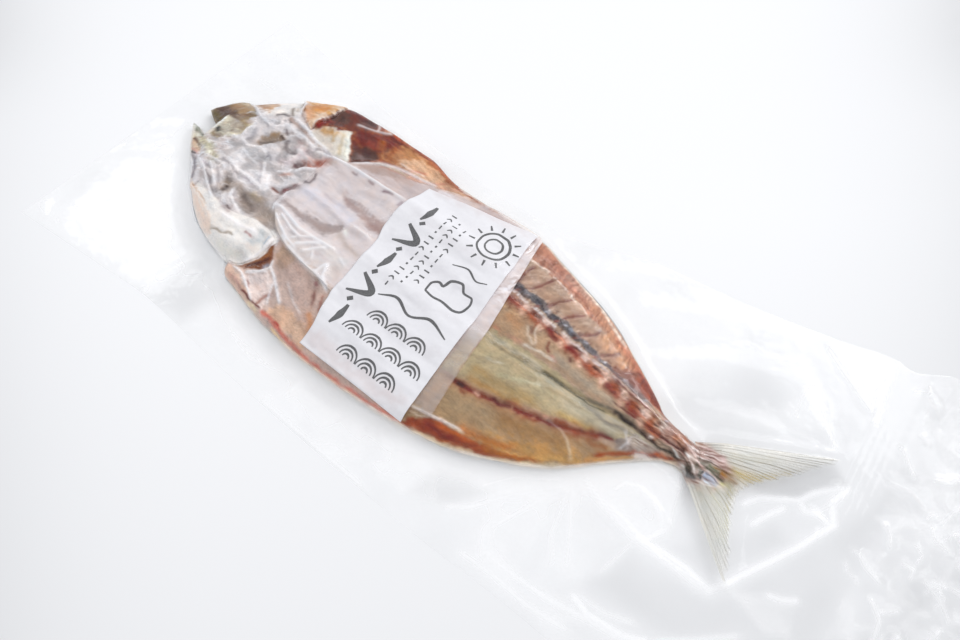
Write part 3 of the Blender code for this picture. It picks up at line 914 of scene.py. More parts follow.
    ([(61.6, -30.2), (65.4, -29.3)], 0.5, (184, 150, 148), 0.85),
    # painted shade along the top of the gill cover
    ([(44, -25.8), (50, -26.6)], 1.2, (194, 182, 181), 0.8),
    ([(45, -24.4), (47.4, -25.4)], 0.6, (140, 128, 128), 0.85),
    ([(48, -31.4), (56, -31), (64, -31.6)], 0.7, (226, 222, 218), 0.7),
]
FLAP_COATS = [
    # backbone half between the head and the label: maroon at the gill, through orange, to peach
    (closed((43.6, 27), (43.2, 36), (44, 44), (45, 54), (58, 53), (66, 53), (76, 53), (89, 54), (96, 51),
            (112, 48), (156, 48), (156, 36), (120, 36), (106, 36.6), (96, 34), (84, 33), (76, 29), (72, 22),
            (70, 20.2), (62, 29.6), (55, 36.8), (48, 32.4)), 1.0, (152, 86, 58), 1.0),
    (closed((43.6, 52), (43.6, 27), (47, 31.4), (52, 36), (57, 38), (62, 42), (63, 52)), 3.0, (112, 66, 46),
            0.95),
    ([(45, 51.6), (50, 50.8), (57, 50.4)], 1.0, (156, 134, 124), 0.8),
    (closed((43.4, 44), (43.4, 36.6), (47, 36.4), (51, 38), (50, 42), (47, 44.4)), 2.6, (92, 68, 62), 0.9),
    ([(53, 46), (57, 46.6), (61, 46.8)], 2.0, (84, 42, 30), 0.9),
    ([(47, 47.6), (53, 45.6)], 2.0, (96, 58, 50), 0.9),
    ([(44.4, 36), (44.8, 31), (44.4, 28)], 1.2, (130, 56, 34), 0.95),
    ([(50.6, 36), (51.6, 32.4)], 0.8, (122, 60, 42), 0.9),
    ([(54, 40.4), (62, 40)], 1.0, (130, 76, 42), 0.8),
    ([(48, 33), (53, 37)], 0.6, (150, 96, 64), 0.6),
    (closed((56, 39), (62, 41.4), (68, 45.4), (75, 46), (77, 40), (74, 34), (66, 33), (58, 35.6)), 3.0,
     (126, 64, 34), 0.95),
    ([(69.4, 42), (71.4, 39), (73.4, 36)], 1.7, (156, 92, 50), 0.85),
    ([(58, 38), (64, 36.6)], 1.6, (112, 50, 36), 0.7),
    ([(70, 46), (74, 45.4), (78, 45.6)], 1.2, (104, 24, 10), 0.95),
    ([(69, 43.8), (74, 43), (79, 43.4)], 0.6, (122, 56, 36), 0.8),
    ([(71, 47.6), (77, 47.2), (83, 47.6)], 0.9, (164, 76, 48), 0.85),
    (closed((75, 33), (78, 45.4), (86, 47), (96, 45), (104, 43), (98, 38), (88, 36.4), (80, 34)), 5.0,
     (184, 132, 94), 0.95),
    ([(81, 42), (86, 43.2), (93, 43.6)], 2.4, (190, 136, 94), 0.85),
    ([(84, 45.8), (92, 45.8)], 0.8, (206, 150, 112), 0.85),
    ([(76, 43), (78, 37), (80, 34.6)], 1.2, (158, 92, 54), 0.7),
    (closed((88, 44), (96, 43.6), (106, 42.4), (124, 41.6), (124, 36.4), (108, 36.4), (98, 35), (86, 35.4),
            (83, 38)), 4.0, (216, 174, 142), 0.95),
    ([(84, 48.8), (87, 50.2), (91, 49.8), (96, 47.8), (104, 46), (113, 44.6)], 1.5, (142, 70, 48), 0.9),
    (closed((82.6, 47.4), (85, 50.6), (91, 50.4), (97, 47.8), (90, 46.6)), 1.2, (136, 68, 46), 0.95),
    ([(86, 48), (89, 48.2), (92, 47.6)], 0.8, (168, 104, 78), 0.85),
    ([(87.6, 50.6), (90, 50.8), (92.4, 50.2)], 0.6, (104, 52, 38), 0.9),
    ([(72, 48.9), (78, 48.5), (83, 48.6)], 0.4, (132, 62, 42), 0.8),
    ([(92, 46.2), (98, 45.2), (104, 44.4)], 0.8, (190, 116, 84), 0.8),
    ([(68, 50.6), (75, 49.6), (83, 49.6)], 1.2, (222, 184, 142), 0.85),
    ([(90, 36), (94, 38.6), (96, 39.6)], 0.7, (204, 138, 116), 0.8),
    ([(91, 33), (97, 34.2), (103, 36), (108, 40), (112, 42)], 0.8, (212, 154, 134), 0.55),
    ([(100, 36), (106, 41.4)], 0.6, (198, 134, 114), 0.7),
    # dark flesh that runs down to the gill slit
    (closed((61.4, 32.4), (66, 34.4), (72, 35), (76.4, 32), (74, 28), (71, 20.6), (66.4, 25)), 2.0,
            (92, 66, 60), 0.95),
    ([(65, 32.6), (68, 31.6), (71.4, 31.6)], 1.4, (84, 58, 54), 0.85),
    ([(67, 28.6), (71, 28.2)], 1.3, (132, 110, 108), 0.85),
    ([(69.8, 22), (70.8, 25.6)], 0.9, (122, 92, 84), 0.85),
    ([(72.6, 27.6), (73, 25)], 0.7, (102, 82, 80), 0.85),
    ([(59.6, 33.6), (64, 31.8)], 1.1, (108, 52, 40), 0.85),
    # pale wrinkle of film over the maroon; its pale stroke is a painted highlight
    ([(62, 51.4), (65.4, 47.6)], 0.8, (122, 72, 66), 0.8),
    ([(65, 49.4), (69, 47.6)], 1.1, (200, 168, 150), 0.8),
    (closed((110, 47), (124, 46), (156, 47), (156, 42.4), (124, 42), (110, 43.6)), 1.6, (212, 194, 185), 0.8),
    ([(112, 45.6), (130, 44.2), (150, 44.4)], 0.6, (186, 132, 116), 0.7),
    # belly flap between the gill cover and the label
    (closed((73.6, -22.6), (84, -24.6), (97, -27.4), (106, -28), (112, -44), (162, -47), (162, -56),
            (112, -57), (98, -54), (80, -52), (64, -49), (62, -42), (66, -39.6), (73, -38), (76, -34)), 0.9,
            (198, 174, 164), 1.0),
    (closed((76, -23.6), (84, -24.8), (86, -30), (82, -32.4), (77, -30)), 2.0, (176, 148, 128), 0.85),
    ([(79, -30), (84, -31.6)], 0.9, (156, 134, 122), 0.8),
    ([(84, -28), (92, -33), (100, -36)], 4.0, (198, 171, 161), 0.85),
    ([(97.6, -27.8), (99.4, -29.6)], 0.8, (158, 106, 106), 0.85),
    ([(100, -31), (103.6, -36.6)], 0.8, (134, 98, 92), 0.85),
    ([(104, -30), (107.4, -36.6)], 0.8, (158, 110, 98), 0.85),
    ([(104, -38), (108, -42), (109, -46)], 1.4, (202, 148, 114), 0.85),
    (closed((91, -43), (98, -42), (110, -44), (112, -51), (98, -49.6), (91, -48)), 2.0, (213, 177, 152), 0.9),
    (closed((79, -35.6), (84, -37), (87, -44), (89, -49), (80, -48), (72, -44), (74, -40)), 1.4,
            (230, 213, 208), 0.95),
    ([(84.6, -48.2), (85.4, -44), (86.6, -41)], 0.7, (172, 124, 110), 0.85),
    ([(74.6, -42.4), (78, -45.2)], 0.4, (152, 104, 96), 0.9),
    (closed((64, -42), (70, -43.4), (76, -45.4), (83, -48.4), (83, -51), (72, -49), (64, -47)), 1.2,
            (220, 186, 168), 0.95),
    ([(67, -45), (71, -45.6), (75, -47)], 0.8, (196, 156, 146), 0.8),
    ([(75, -47), (82, -48.3), (87.6, -48.4)], 0.5, (112, 58, 44), 0.95),
    ([(88, -48.7), (94, -49.2), (100, -50.6), (106, -52), (114, -52.8), (134, -52.2), (158, -49.6)], 0.9,
     (206, 124, 110), 0.95),
    ([(95.6, -48.9), (98.6, -49.2)], 0.5, (188, 84, 78), 0.9),
    ([(96, -51.4), (104, -53.2), (112, -54), (134, -53.4)], 0.45, (238, 204, 154), 0.9),
    ([(80, -49.5), (86.6, -50.1)], 0.8, (230, 212, 182), 0.9),
    # gap behind the gill cover
    (closed((73.4, -25), (76, -29.4), (78, -33), (76, -36.6), (71, -40), (65.6, -40.6), (70, -37),
            (73, -32)), 0.7, (132, 84, 60), 1.0),
    ([(74, -27), (74.4, -31), (71, -36), (68, -39)], 0.9, (154, 104, 72), 0.85),
    ([(76, -31), (73.4, -35.4), (70, -39.2)], 0.9, (86, 60, 50), 0.9),
    ([(77.2, -33), (76.4, -35.8)], 0.8, (150, 150, 161), 0.9),
]
TAIL_COATS = [
    # outer red flesh of the backbone half
    (closed((150, 50), (156, 46), (175, 40), (200, 30), (229, 12), (230, 9), (215, 10.6), (204, 15),
            (197, 22), (188, 24.4), (176, 28), (160, 31.5), (150, 32)), 1.2, (178, 126, 104), 1.0),
    ([(158, 37), (175, 34), (190, 29)], 2.2, (170, 112, 96), 0.7),
    ([(168, 33), (182, 30.4)], 1.2, (196, 140, 122), 0.6),
    ([(170, 35.4), (180, 33), (189, 29.6)], 1.5, (206, 168, 150), 0.6),
    ([(184, 31), (196, 26.6), (205, 22.6)], 2.2, (196, 144, 116), 0.85),
    ([(200, 24), (212, 19), (222, 14.8)], 2.2, (196, 126, 100), 0.8),
    (closed((202, 12.4), (212, 16), (226, 13), (230, 10), (215, 10.4)), 1.8, (152, 80, 60), 0.9),
    ([(210.6, 13), (214.6, 12)], 1.5, (112, 56, 52), 0.9),
    ([(213, 17.6), (222, 13.8), (229, 10.4)], 1.6, (130, 68, 46), 0.95),
    ([(209, 10.8), (214, 10.2), (220, 9.6)], 1.5, (124, 96, 92), 0.9),
    ([(204, 21), (207, 17)], 0.8, (214, 166, 140), 0.6),
    # muscle blocks between the red band and the backbone
    (closed((158, 31), (176, 28), (188, 24.4), (197, 22), (206, 16), (214, 11), (205, 10.6), (190, 14.6),
            (158, 18.6)), 1.2, (178, 148, 128), 1.0),
    ([(160, 24), (166, 23)], 2.4, (184, 156, 142), 0.6),
    ([(196, 21), (203, 17.6), (210, 14)], 3.4, (206, 154, 118), 0.9),
    ([(155, 30.6), (160, 31.4), (166, 31)], 0.5, (226, 204, 192), 0.85),
    ([(168, 30.6), (172, 29.6), (176, 28.4)], 0.35, (228, 208, 196), 0.85),
    ([(177.4, 28.6), (178.6, 26.6), (181, 26)], 0.4, (234, 218, 208), 0.85),
    ([(182, 26.6), (187.4, 24.6)], 0.3, (222, 196, 182), 0.8),
    ([(163, 33.6), (170, 32.6), (177, 30.6)], 0.4, (214, 178, 164), 0.5),
    ([(158, 33.4), (170, 32.6), (182, 28.8), (190, 25.4)], 0.6, (150, 96, 82), 0.5),
    ([(178, 26.4), (184, 24.6)], 0.8, (206, 176, 160), 0.6),
    # backbone: grey-blue patches, a white streak and red lumps
    (closed((158.4, 19), (165, 18.8), (173, 18.6), (175, 17), (180, 16.4), (184, 17), (188, 15),
            (194, 14.4), (200, 12.4), (206, 11.4), (207, 10), (200, 10.2), (194, 11.4), (187, 12.3),
            (181, 12.8), (174, 14.6), (166, 15), (158.4, 15.4)), 0.8, (92, 90, 95), 0.95),
    ([(160, 17.4), (166, 17), (172, 17)], 0.5, (58, 58, 66), 0.85),
    ([(174.4, 17), (176.6, 15.6)], 0.8, (160, 150, 150), 0.85),
    ([(186, 15.8), (187.4, 13.6)], 0.7, (150, 150, 158), 0.8),
    ([(194.6, 13.6), (196, 11.8)], 0.7, (146, 140, 144), 0.7),
    ([(163, 18.6), (164.6, 16.4)], 0.5, (132, 130, 136), 0.6),
    ([(177, 16), (183.6, 14.4), (190, 14)], 0.4, (62, 62, 68), 0.8),
    ([(187, 14.6), (194, 13.2), (200, 12), (208, 10.6)], 0.8, (92, 86, 92), 0.8),
    ([(189, 14.6), (191.4, 13.4)], 0.7, (136, 128, 132), 0.8),
    ([(199, 12.6), (201, 11)], 0.6, (146, 134, 134), 0.8),
    ([(204, 11), (215, 9.8), (226, 8.4)], 0.8, (104, 88, 90), 0.9),
    ([(206, 12.4), (212, 12.2), (217, 11.6)], 1.4, (128, 74, 64), 0.85),
    ([(207.6, 8.6), (214, 8)], 0.5, (222, 206, 202), 0.85),
    ([(217, 8.4), (224.6, 7.4)], 0.5, (214, 196, 192), 0.85),
    ([(229, 8), (239, 6.4)], 1.1, (184, 138, 124), 0.85),
    ([(226, 11.6), (232, 9.6), (240, 7.8)], 0.9, (126, 76, 62), 0.85),
    ([(231, 7), (236, 5.8), (243, 5.2)], 0.6, (118, 84, 80), 0.8),
    ([(229, 4.8), (236, 3.4), (243, 2.4)], 0.8, (128, 70, 48), 0.8),
    ([(226, 1.2), (234, 0.8), (243, 0.8)], 0.6, (78, 66, 58), 0.85),
    ([(158.4, 11.8), (170, 10.6), (184, 8.2), (198, 6.4), (210, 5.4), (222, 4.2)], 2.5, (164, 92, 70), 0.8),
    ([(158.4, 15.2), (163, 14.7), (167, 13.6)], 0.5, (234, 224, 222), 0.95),
    ([(169.6, 13.8), (175, 13), (178, 12.2), (181.6, 11.4)], 0.5, (232, 222, 220), 0.95),
    ([(184, 12), (189.6, 10.8), (197, 9.9)], 0.5, (230, 218, 216), 0.95),
    ([(198.6, 9.4), (207, 8.8)], 0.5, (226, 212, 210), 0.9),
    ([(170, 12.2), (176, 11.6), (181, 10.2)], 0.5, (112, 44, 34), 0.8),
    ([(185, 10.4), (192, 9.4), (198, 8.4)], 0.5, (108, 44, 36), 0.8),
    # flesh under the backbone
    (closed((158, 12), (172, 10), (182, 7.6), (195, 5.4), (212, 4.4), (230, 2), (244, 1), (240, -0.6),
            (222, 0), (205, -2), (185, -1), (158, -3)), 1.6, (178, 148, 121), 0.95),
    ([(163, 6), (172, 3.4)], 2.6, (188, 142, 106), 0.8),
    ([(186, 2.4), (200, 1), (215, 0.4)], 1.8, (176, 160, 142), 0.85),
    ([(173, 6.8), (176.4, 4)], 1.2, (140, 108, 98), 0.7),
    ([(172, 6.4), (175, 3), (179, 0.8)], 0.5, (212, 192, 172), 0.8),
    ([(175.6, 9), (177, 5), (179.4, 1.6)], 0.5, (214, 194, 176), 0.8),
    ([(174.8, 8.6), (175.4, 5)], 0.5, (130, 90, 74), 0.8),
    ([(182.4, 6), (184, 3), (185.2, 2)], 0.55, (130, 76, 66), 0.85),
    ([(186, 1.6), (189.4, 0.8)], 0.5, (190, 136, 124), 0.8),
    ([(191.6, 5), (193.2, 4)], 0.7, (104, 56, 50), 0.85),
    ([(162.4, -1.4), (166.4, -2.6)], 0.7, (202, 144, 116), 0.8),
    ([(169, -1.2), (176, -0.6)], 0.6, (202, 158, 136), 0.75),
    ([(176, -1), (182, 0), (189, 0.9)], 0.5, (220, 208, 194), 0.8),
    # greenish middle
    (closed((158, -3), (185, -2), (205, -2.4), (229, -1.4), (228, -6), (222, -9), (212, -12), (204, -15.4),
            (190, -19.8), (178, -23.8), (158, -27)), 1.2, (179, 163, 132), 1.0),
    ([(161, -4.7), (175, -4.5), (187, -4)], 0.8, (202, 192, 170), 0.85),
    ([(161, -6.6), (172, -6.7), (182, -6.2), (190, -5.5)], 0.75, (142, 132, 110), 0.85),
    ([(170, -6.4), (171.6, -7)], 0.6, (110, 100, 84), 0.7),
    ([(187, -5.1), (196, -4.6), (206, -4.3), (214, -3.4)], 0.6, (88, 84, 66), 0.95),
    ([(186, -7), (200, -6.4), (214, -5.4)], 1.0, (182, 176, 155), 0.8),
    ([(168.6, -13.6), (175.4, -11.4)], 0.5, (206, 196, 172), 0.85),
    ([(180.6, -14.2), (186, -11.6), (190.4, -10.4)], 0.7, (204, 196, 168), 0.85),
    ([(174, -17), (186, -12.4)], 1.3, (190, 180, 146), 0.7),
    ([(166, -20), (180, -19), (193, -16.6)], 2.4, (167, 141, 100), 0.8),
    ([(168, -23.8), (180, -22), (189, -20)], 1.2, (170, 136, 88), 0.8),
    ([(198, -10.4), (212, -9), (221, -7.6)], 2.4, (178, 168, 147), 0.8),
    ([(206, -5.6), (215, -6.2), (225, -5)], 1.3, (132, 126, 113), 0.8),
    ([(200, -14.4), (206, -13.8), (213, -11.6)], 1.2, (192, 163, 108), 0.8),
    (closed((221, -10), (226, -3), (234, -2.4), (237, -3.4), (230, -7.6), (224, -13)), 0.9, (150, 136, 128),
            0.9),
    ([(225, -5), (225.6, -10)], 0.6, (200, 186, 180), 0.8),
    # below the lateral line: brown, then amber, and dark orange at the rim
    (closed((158, -27), (178, -25.6), (192, -22.6), (206, -18.6), (216, -14), (223, -12), (232, -8),
            (220, -20), (205, -33), (190, -42), (176, -46), (158, -50)), 1.2, (170, 142, 111), 1.0),
    ([(168, -33), (185, -30)], 2.6, (178, 152, 121), 0.7),
    ([(184, -29), (200, -24.6), (211, -20)], 2.6, (156, 120, 84), 0.8),
    (closed((186, -34.6), (200, -28), (210, -22.4), (217, -19.4), (222, -18), (214, -27), (205, -34),
            (194, -40), (184, -41)), 6.0, (188, 144, 94), 0.9),
    ([(202, -32), (209, -27.4), (217, -21.6)], 0.8, (206, 162, 104), 0.75),
    ([(202, -18.8), (208, -19.4), (211.4, -22), (213.6, -24.4)], 0.4, (206, 184, 152), 0.6),
    (closed((156, -52), (161, -46.2), (166, -42.4), (176, -40.4), (184, -39.4), (192, -36.8), (200, -33.6),
            (198, -38), (186, -44), (176, -48), (166, -51)), 1.6, (152, 78, 40), 1.0),
    ([(176, -38.8), (186, -36.8), (196, -33)], 1.5, (186, 114, 66), 0.7),
    ([(165, -45), (172, -44.4), (178, -43)], 1.0, (126, 56, 32), 0.7),
    ([(168, -42.4), (176, -41.4), (184, -40)], 0.8, (172, 94, 54), 0.8),
    ([(172, -46.4), (180, -44.6), (188, -41.6)], 0.7, (170, 100, 64), 0.7),
    ([(186, -39.6), (196, -36), (205, -31.6)], 1.2, (176, 112, 66), 0.85),
    ([(157, -43.4), (163, -42.6), (168, -41), (173, -40), (178.6, -39.2)], 0.5, (228, 200, 176), 0.9),
    ([(157, -45.2), (163, -44.4), (166.4, -42.4)], 0.4, (218, 190, 168), 0.8),
    # lateral line
    ([(164, -27.4), (172, -26.6), (181, -24.4), (192, -21.6), (206, -17), (217, -11.6)], 2.6,
      (156, 104, 76), 0.65),
    ([(164, -27.4), (168, -26.9), (172, -26.7), (176, -25.8), (181, -24.4), (186, -23), (192, -21.6),
      (200, -19), (206, -17), (212, -14.4), (217, -11.4), (221, -9.8)], 0.95, (122, 60, 40), 0.9),
    ([(168, -28.4), (171.4, -28.8)], 0.8, (132, 76, 62), 0.8),
    ([(175, -25.2), (178, -25.4)], 0.7, (134, 74, 54), 0.85),
    ([(180, -23.4), (184, -24.4)], 0.6, (104, 46, 34), 0.85),
    ([(188.6, -21.6), (190.4, -23.4)], 0.6, (128, 66, 48), 0.85),
    ([(194, -22.4), (195.4, -20.4)], 0.5, (196, 146, 120), 0.6),
    ([(186.4, -22), (187.4, -23.8)], 0.4, (190, 146, 120), 0.6),
    ([(201, -17.4), (204, -16.6), (208, -16.6)], 1.2, (140, 78, 52), 0.85),
    ([(183, -22.6), (188, -21.2)], 0.7, (150, 92, 70), 0.7),
    ([(192, -23), (198, -20.8)], 0.7, (140, 78, 56), 0.7),
    ([(165.6, -27.2), (169.6, -27)], 1.0, (78, 34, 32), 0.9),
    ([(173.2, -26.2), (175.8, -26)], 0.6, (210, 164, 144), 0.9),
    ([(197.4, -18.6), (199.2, -18)], 0.6, (200, 152, 130), 0.85),
    ([(208, -17), (213, -14.4), (216.6, -13)], 1.5, (142, 78, 54), 0.85),
    ([(212, -14.6), (216, -16), (221, -13.6)], 1.1, (152, 100, 72), 0.8),
    # tail end
    (closed((233, 8.6), (240, 7.6), (248, 6.6), (253, 3), (250, -2), (243, -2), (236, -0.4), (231, 2)), 2.5,
     (176, 142, 130), 0.9),
    ([(205, -3.2), (215, -1.2), (226, 0.1), (240, 0)], 0.5, (128, 118, 104), 0.8),
    ([(206, -6.4), (216, -4.2), (226, -2.6), (236, -2.4)], 0.7, (160, 150, 134), 0.8),
    ([(210, -7.2), (218, -5.6), (226, -4.2)], 0.6, (122, 112, 100), 0.7),
    ([(233, 5), (240, 4.6), (246, 2)], 0.6, (206, 172, 162), 0.8),
    ([(234, 3.2), (241, 2.6), (247, -0.6)], 0.6, (142, 100, 86), 0.8),
    ([(240, 6.6), (246, 4.4), (250, 0)], 0.5, (216, 194, 190), 0.8),
    ([(238, 6.8), (244, 5.6)], 0.6, (150, 104, 88), 0.8),
    ([(218, -18.4), (224, -13), (229, -8.8), (235, -4.6), (241, -1.8)], 0.8, (156, 84, 50), 0.95),
    ([(216, -21.4), (220, -18), (224, -14.8), (231, -8.4)], 0.5, (206, 156, 104), 0.85),
    ([(214, -1.4), (221, -1.4), (226, -0.9), (230, -1.2), (234, -2), (238, -1.2), (244, -0.8)], 0.95,
      (68, 62, 52), 0.98),
    ([(218, 0.2), (225, 0.6)], 0.5, (120, 116, 102), 0.8),
    # a small painted highlight on the dark middle line
    ([(229.4, -0.5), (231.2, -0.3)], 0.5, (232, 232, 228), 0.9),
    ([(213, 1), (222, 1.4), (232, 1.3), (244, 1.6)], 0.45, (90, 56, 46), 0.9),
    ([(229, 9.2), (234, 8.4), (240, 7.2)], 0.7, (132, 84, 70), 0.85),
    ([(232, 9.4), (240, 8.2), (248, 6.4), (252, 3)], 0.8, (214, 184, 172), 0.8),
    ([(239, 6.6), (245.4, 5.8)], 0.8, (152, 92, 64), 0.85),
    ([(237, 4.2), (243, 4.6)], 1.1, (198, 152, 126), 0.8),
    (closed((244.6, 12), (252, 12), (258, 9), (264, 4), (262, -2), (254, -6), (246, -6), (243, -2.4),
            (243.6, 4)), 4.0, (190, 168, 159), 1.0),
    ([(246, 8), (250, 9), (255, 8)], 1.1, (208, 178, 174), 0.85),
    ([(243, 3.4), (248, 5), (253, 5.2), (258, 6.6)], 0.5, (150, 118, 112), 0.85),
    ([(244, 5.2), (249, 7.6), (255, 9.4)], 0.35, (232, 212, 208), 0.85),
    ([(245, 7.6), (250, 10.4)], 0.4, (170, 136, 130), 0.8),
    ([(246.6, 6.6), (251, 6.4), (254.4, 6.8)], 0.5, (166, 134, 130), 0.85),
    ([(250.2, 4.6), (248.6, 2), (246, -1.6)], 1.2, (110, 104, 94), 0.9),
    ([(245.4, -1.4), (247.6, -3), (250, -2.4)], 1.3, (68, 66, 60), 0.95),
    ([(250.4, 3.4), (253, 2.8), (255.8, 3)], 1.0, (98, 102, 82), 0.95),
    ([(250, 4.8), (251.2, 5.4)], 0.6, (64, 64, 54), 0.9),
    ([(250.6, -0.4), (253, -0.8), (257.4, -1.2)], 1.35, (158, 164, 180), 0.95),
    ([(251, 0.5), (254, 0.3), (256.6, 0)], 0.35, (96, 100, 112), 0.9),
    ([(251.6, -2.2), (255, -2.3)], 0.45, (196, 200, 208), 0.8),
    ([(250.4, 0.6), (250, -1), (250.6, -2.6)], 0.4, (70, 72, 72), 0.9),
    ([(255, 3.8), (258, 3.6), (261, 3.0)], 1.1, (150, 104, 48), 0.98),
    ([(256.4, -0.8), (259, -1.2)], 0.8, (206, 186, 168), 0.85),
    ([(249.4, 1), (250.2, -2)], 0.4, (124, 120, 112), 0.85),
    ([(256.6, 1.2), (261, 1.2)], 0.9, (196, 186, 132), 0.85),
    # strands that cross from the stem into the fin
    ([(238, 3.4), (244, 1.2), (249, -1.6)], 0.35, (96, 70, 60), 0.85),
    ([(239, 5.4), (245, 3.8), (250, 1.2)], 0.4, (222, 196, 190), 0.85),
    ([(240, 7.6), (247, 6.2), (253, 6.6)], 0.35, (120, 84, 76), 0.85),
    ([(241, 4.4), (248, 4.2), (254, 5.6)], 0.35, (236, 218, 214), 0.85),
    ([(243, 6.4), (249, 7.4), (256, 9.6)], 0.35, (150, 112, 104), 0.85),
    ([(244, 7.4), (251, 9), (258, 11.4)], 0.3, (240, 228, 222), 0.85),
    ([(246, 3), (251, 4.6), (256, 5)], 0.4, (104, 88, 78), 0.85),
    ([(247, 4.4), (252, 6.2), (258, 8)], 0.35, (214, 188, 182), 0.85),
    ([(240, 1), (245, -0.4), (249, -3)], 0.4, (86, 76, 68), 0.85),
    ([(238, 0.4), (243, -1), (247, -3.4)], 0.35, (196, 188, 182), 0.85),
    ([(250, 2.2), (254, 1.6), (258, 1.8)], 0.45, (74, 80, 66), 0.85),
    ([(252, 3.6), (256, 4.6), (260, 5.6)], 0.4, (132, 104, 58), 0.85),
    ([(256, -2.4), (260, -3), (263, -6)], 0.5, (188, 170, 120), 0.85),
    ([(254, -3), (257, -4.4), (260, -8)], 0.35, (150, 142, 120), 0.85),
    # pale rim of skin
    ([(155, 44), (165, 40.4), (175, 37.2), (190, 31.6), (206, 23)], 0.9, (238, 220, 204), 0.9),
    ([(162, -49.2), (175, -46.6), (188, -42), (200, -35.6), (213, -26.8)], 0.7, (222, 202, 170), 0.85),
]
for path in SEPTA:
    TAIL_COATS.append((path, 1.7, (160, 122, 109), 0.45))
    TAIL_COATS.append((path, 0.6, (124, 78, 72), 0.85))
for joint in range(JOINTS):
    x = FIRST_JOINT + joint * JOINT_SPACING
    y = float(bone_y(x))
    TAIL_COATS += [
        ([(x + 1.2, y - 3.0), (x + 4.6, y - 4.1), (x + 8.2, y - 4.3)], 1.7, LUMP_COLOURS[joint % 3], 0.9),
        ([(x - 2.6, y - 2.2), (x + 0.6, y - 2.8)], 1.1, (172, 96, 68), 0.9),
        ([(x - 1.8, y - 0.6), (x + 1.4, y - 1.6)], 1.0, (236, 204, 190), 0.98),
        ([(x - 1.4, y - 3.0), (x + 0.6, y - 5.6)], 1.0, (212, 170, 148), 0.95),
        ([(x + 5.2, y - 2.9), (x + 6.8, y - 3.3)], 0.6, (196, 132, 106), 0.85),
        ([(x + 1.4, y + 0.6), (x + 3.4, y + 1.8)], 0.5, (150, 96, 88), 0.8),
        ([(x + 6.0, y + 1.4), (x + 7.4, y + 2.6)], 0.45, (172, 168, 176), 0.8),
        ([(x + 4, y - 2.0), (x + 8, y - 2.4)], 0.4, (84, 46, 40), 0.85),
    ]
# the last vertebrae stand out as pale beads between orange-brown lumps
TAIL_COATS += [
    ([(210.4, 7.4), (211, 4.4)], 1.4, (150, 82, 60), 0.8),
    ([(219, 6.2), (219.6, 3.2)], 1.5, (150, 84, 56), 0.8),
    ([(227.6, 5.8), (228, 2.8)], 1.4, (154, 88, 60), 0.8),
    ([(236, 5.2), (238, 3.2)], 1.3, (150, 92, 66), 0.75),
    ([(206, 8.6), (206.6, 6.4), (206, 4.6)], 0.9, (220, 184, 166), 0.85),
    ([(215, 8.6), (215.6, 6), (215, 4.4)], 1.0, (218, 184, 164), 0.9),
    ([(223.6, 8), (224, 5.6), (223.4, 4)], 0.9, (212, 186, 176), 0.9),
    ([(231.4, 6.6), (232, 4.2), (231.6, 3)], 0.9, (218, 196, 184), 0.9),
    ([(208, 10.4), (216, 9.9), (222, 9.4)], 0.7, (116, 92, 90), 0.85),
    ([(210, 8.4), (217, 7.4), (226, 6.6)], 0.35, (120, 62, 50), 0.8),
    ([(241, 8), (245, 9), (249, 10.6)], 0.4, (236, 222, 216), 0.85),
    ([(242, 6.4), (246, 7.6), (250, 9)], 0.4, (152, 122, 112), 0.85),
    ([(243, 5), (247, 6.4), (251, 7.4)], 0.35, (232, 216, 210), 0.85),
    ([(242, 2.4), (246, 0.6), (249.4, -2)], 0.4, (224, 210, 204), 0.8),
]

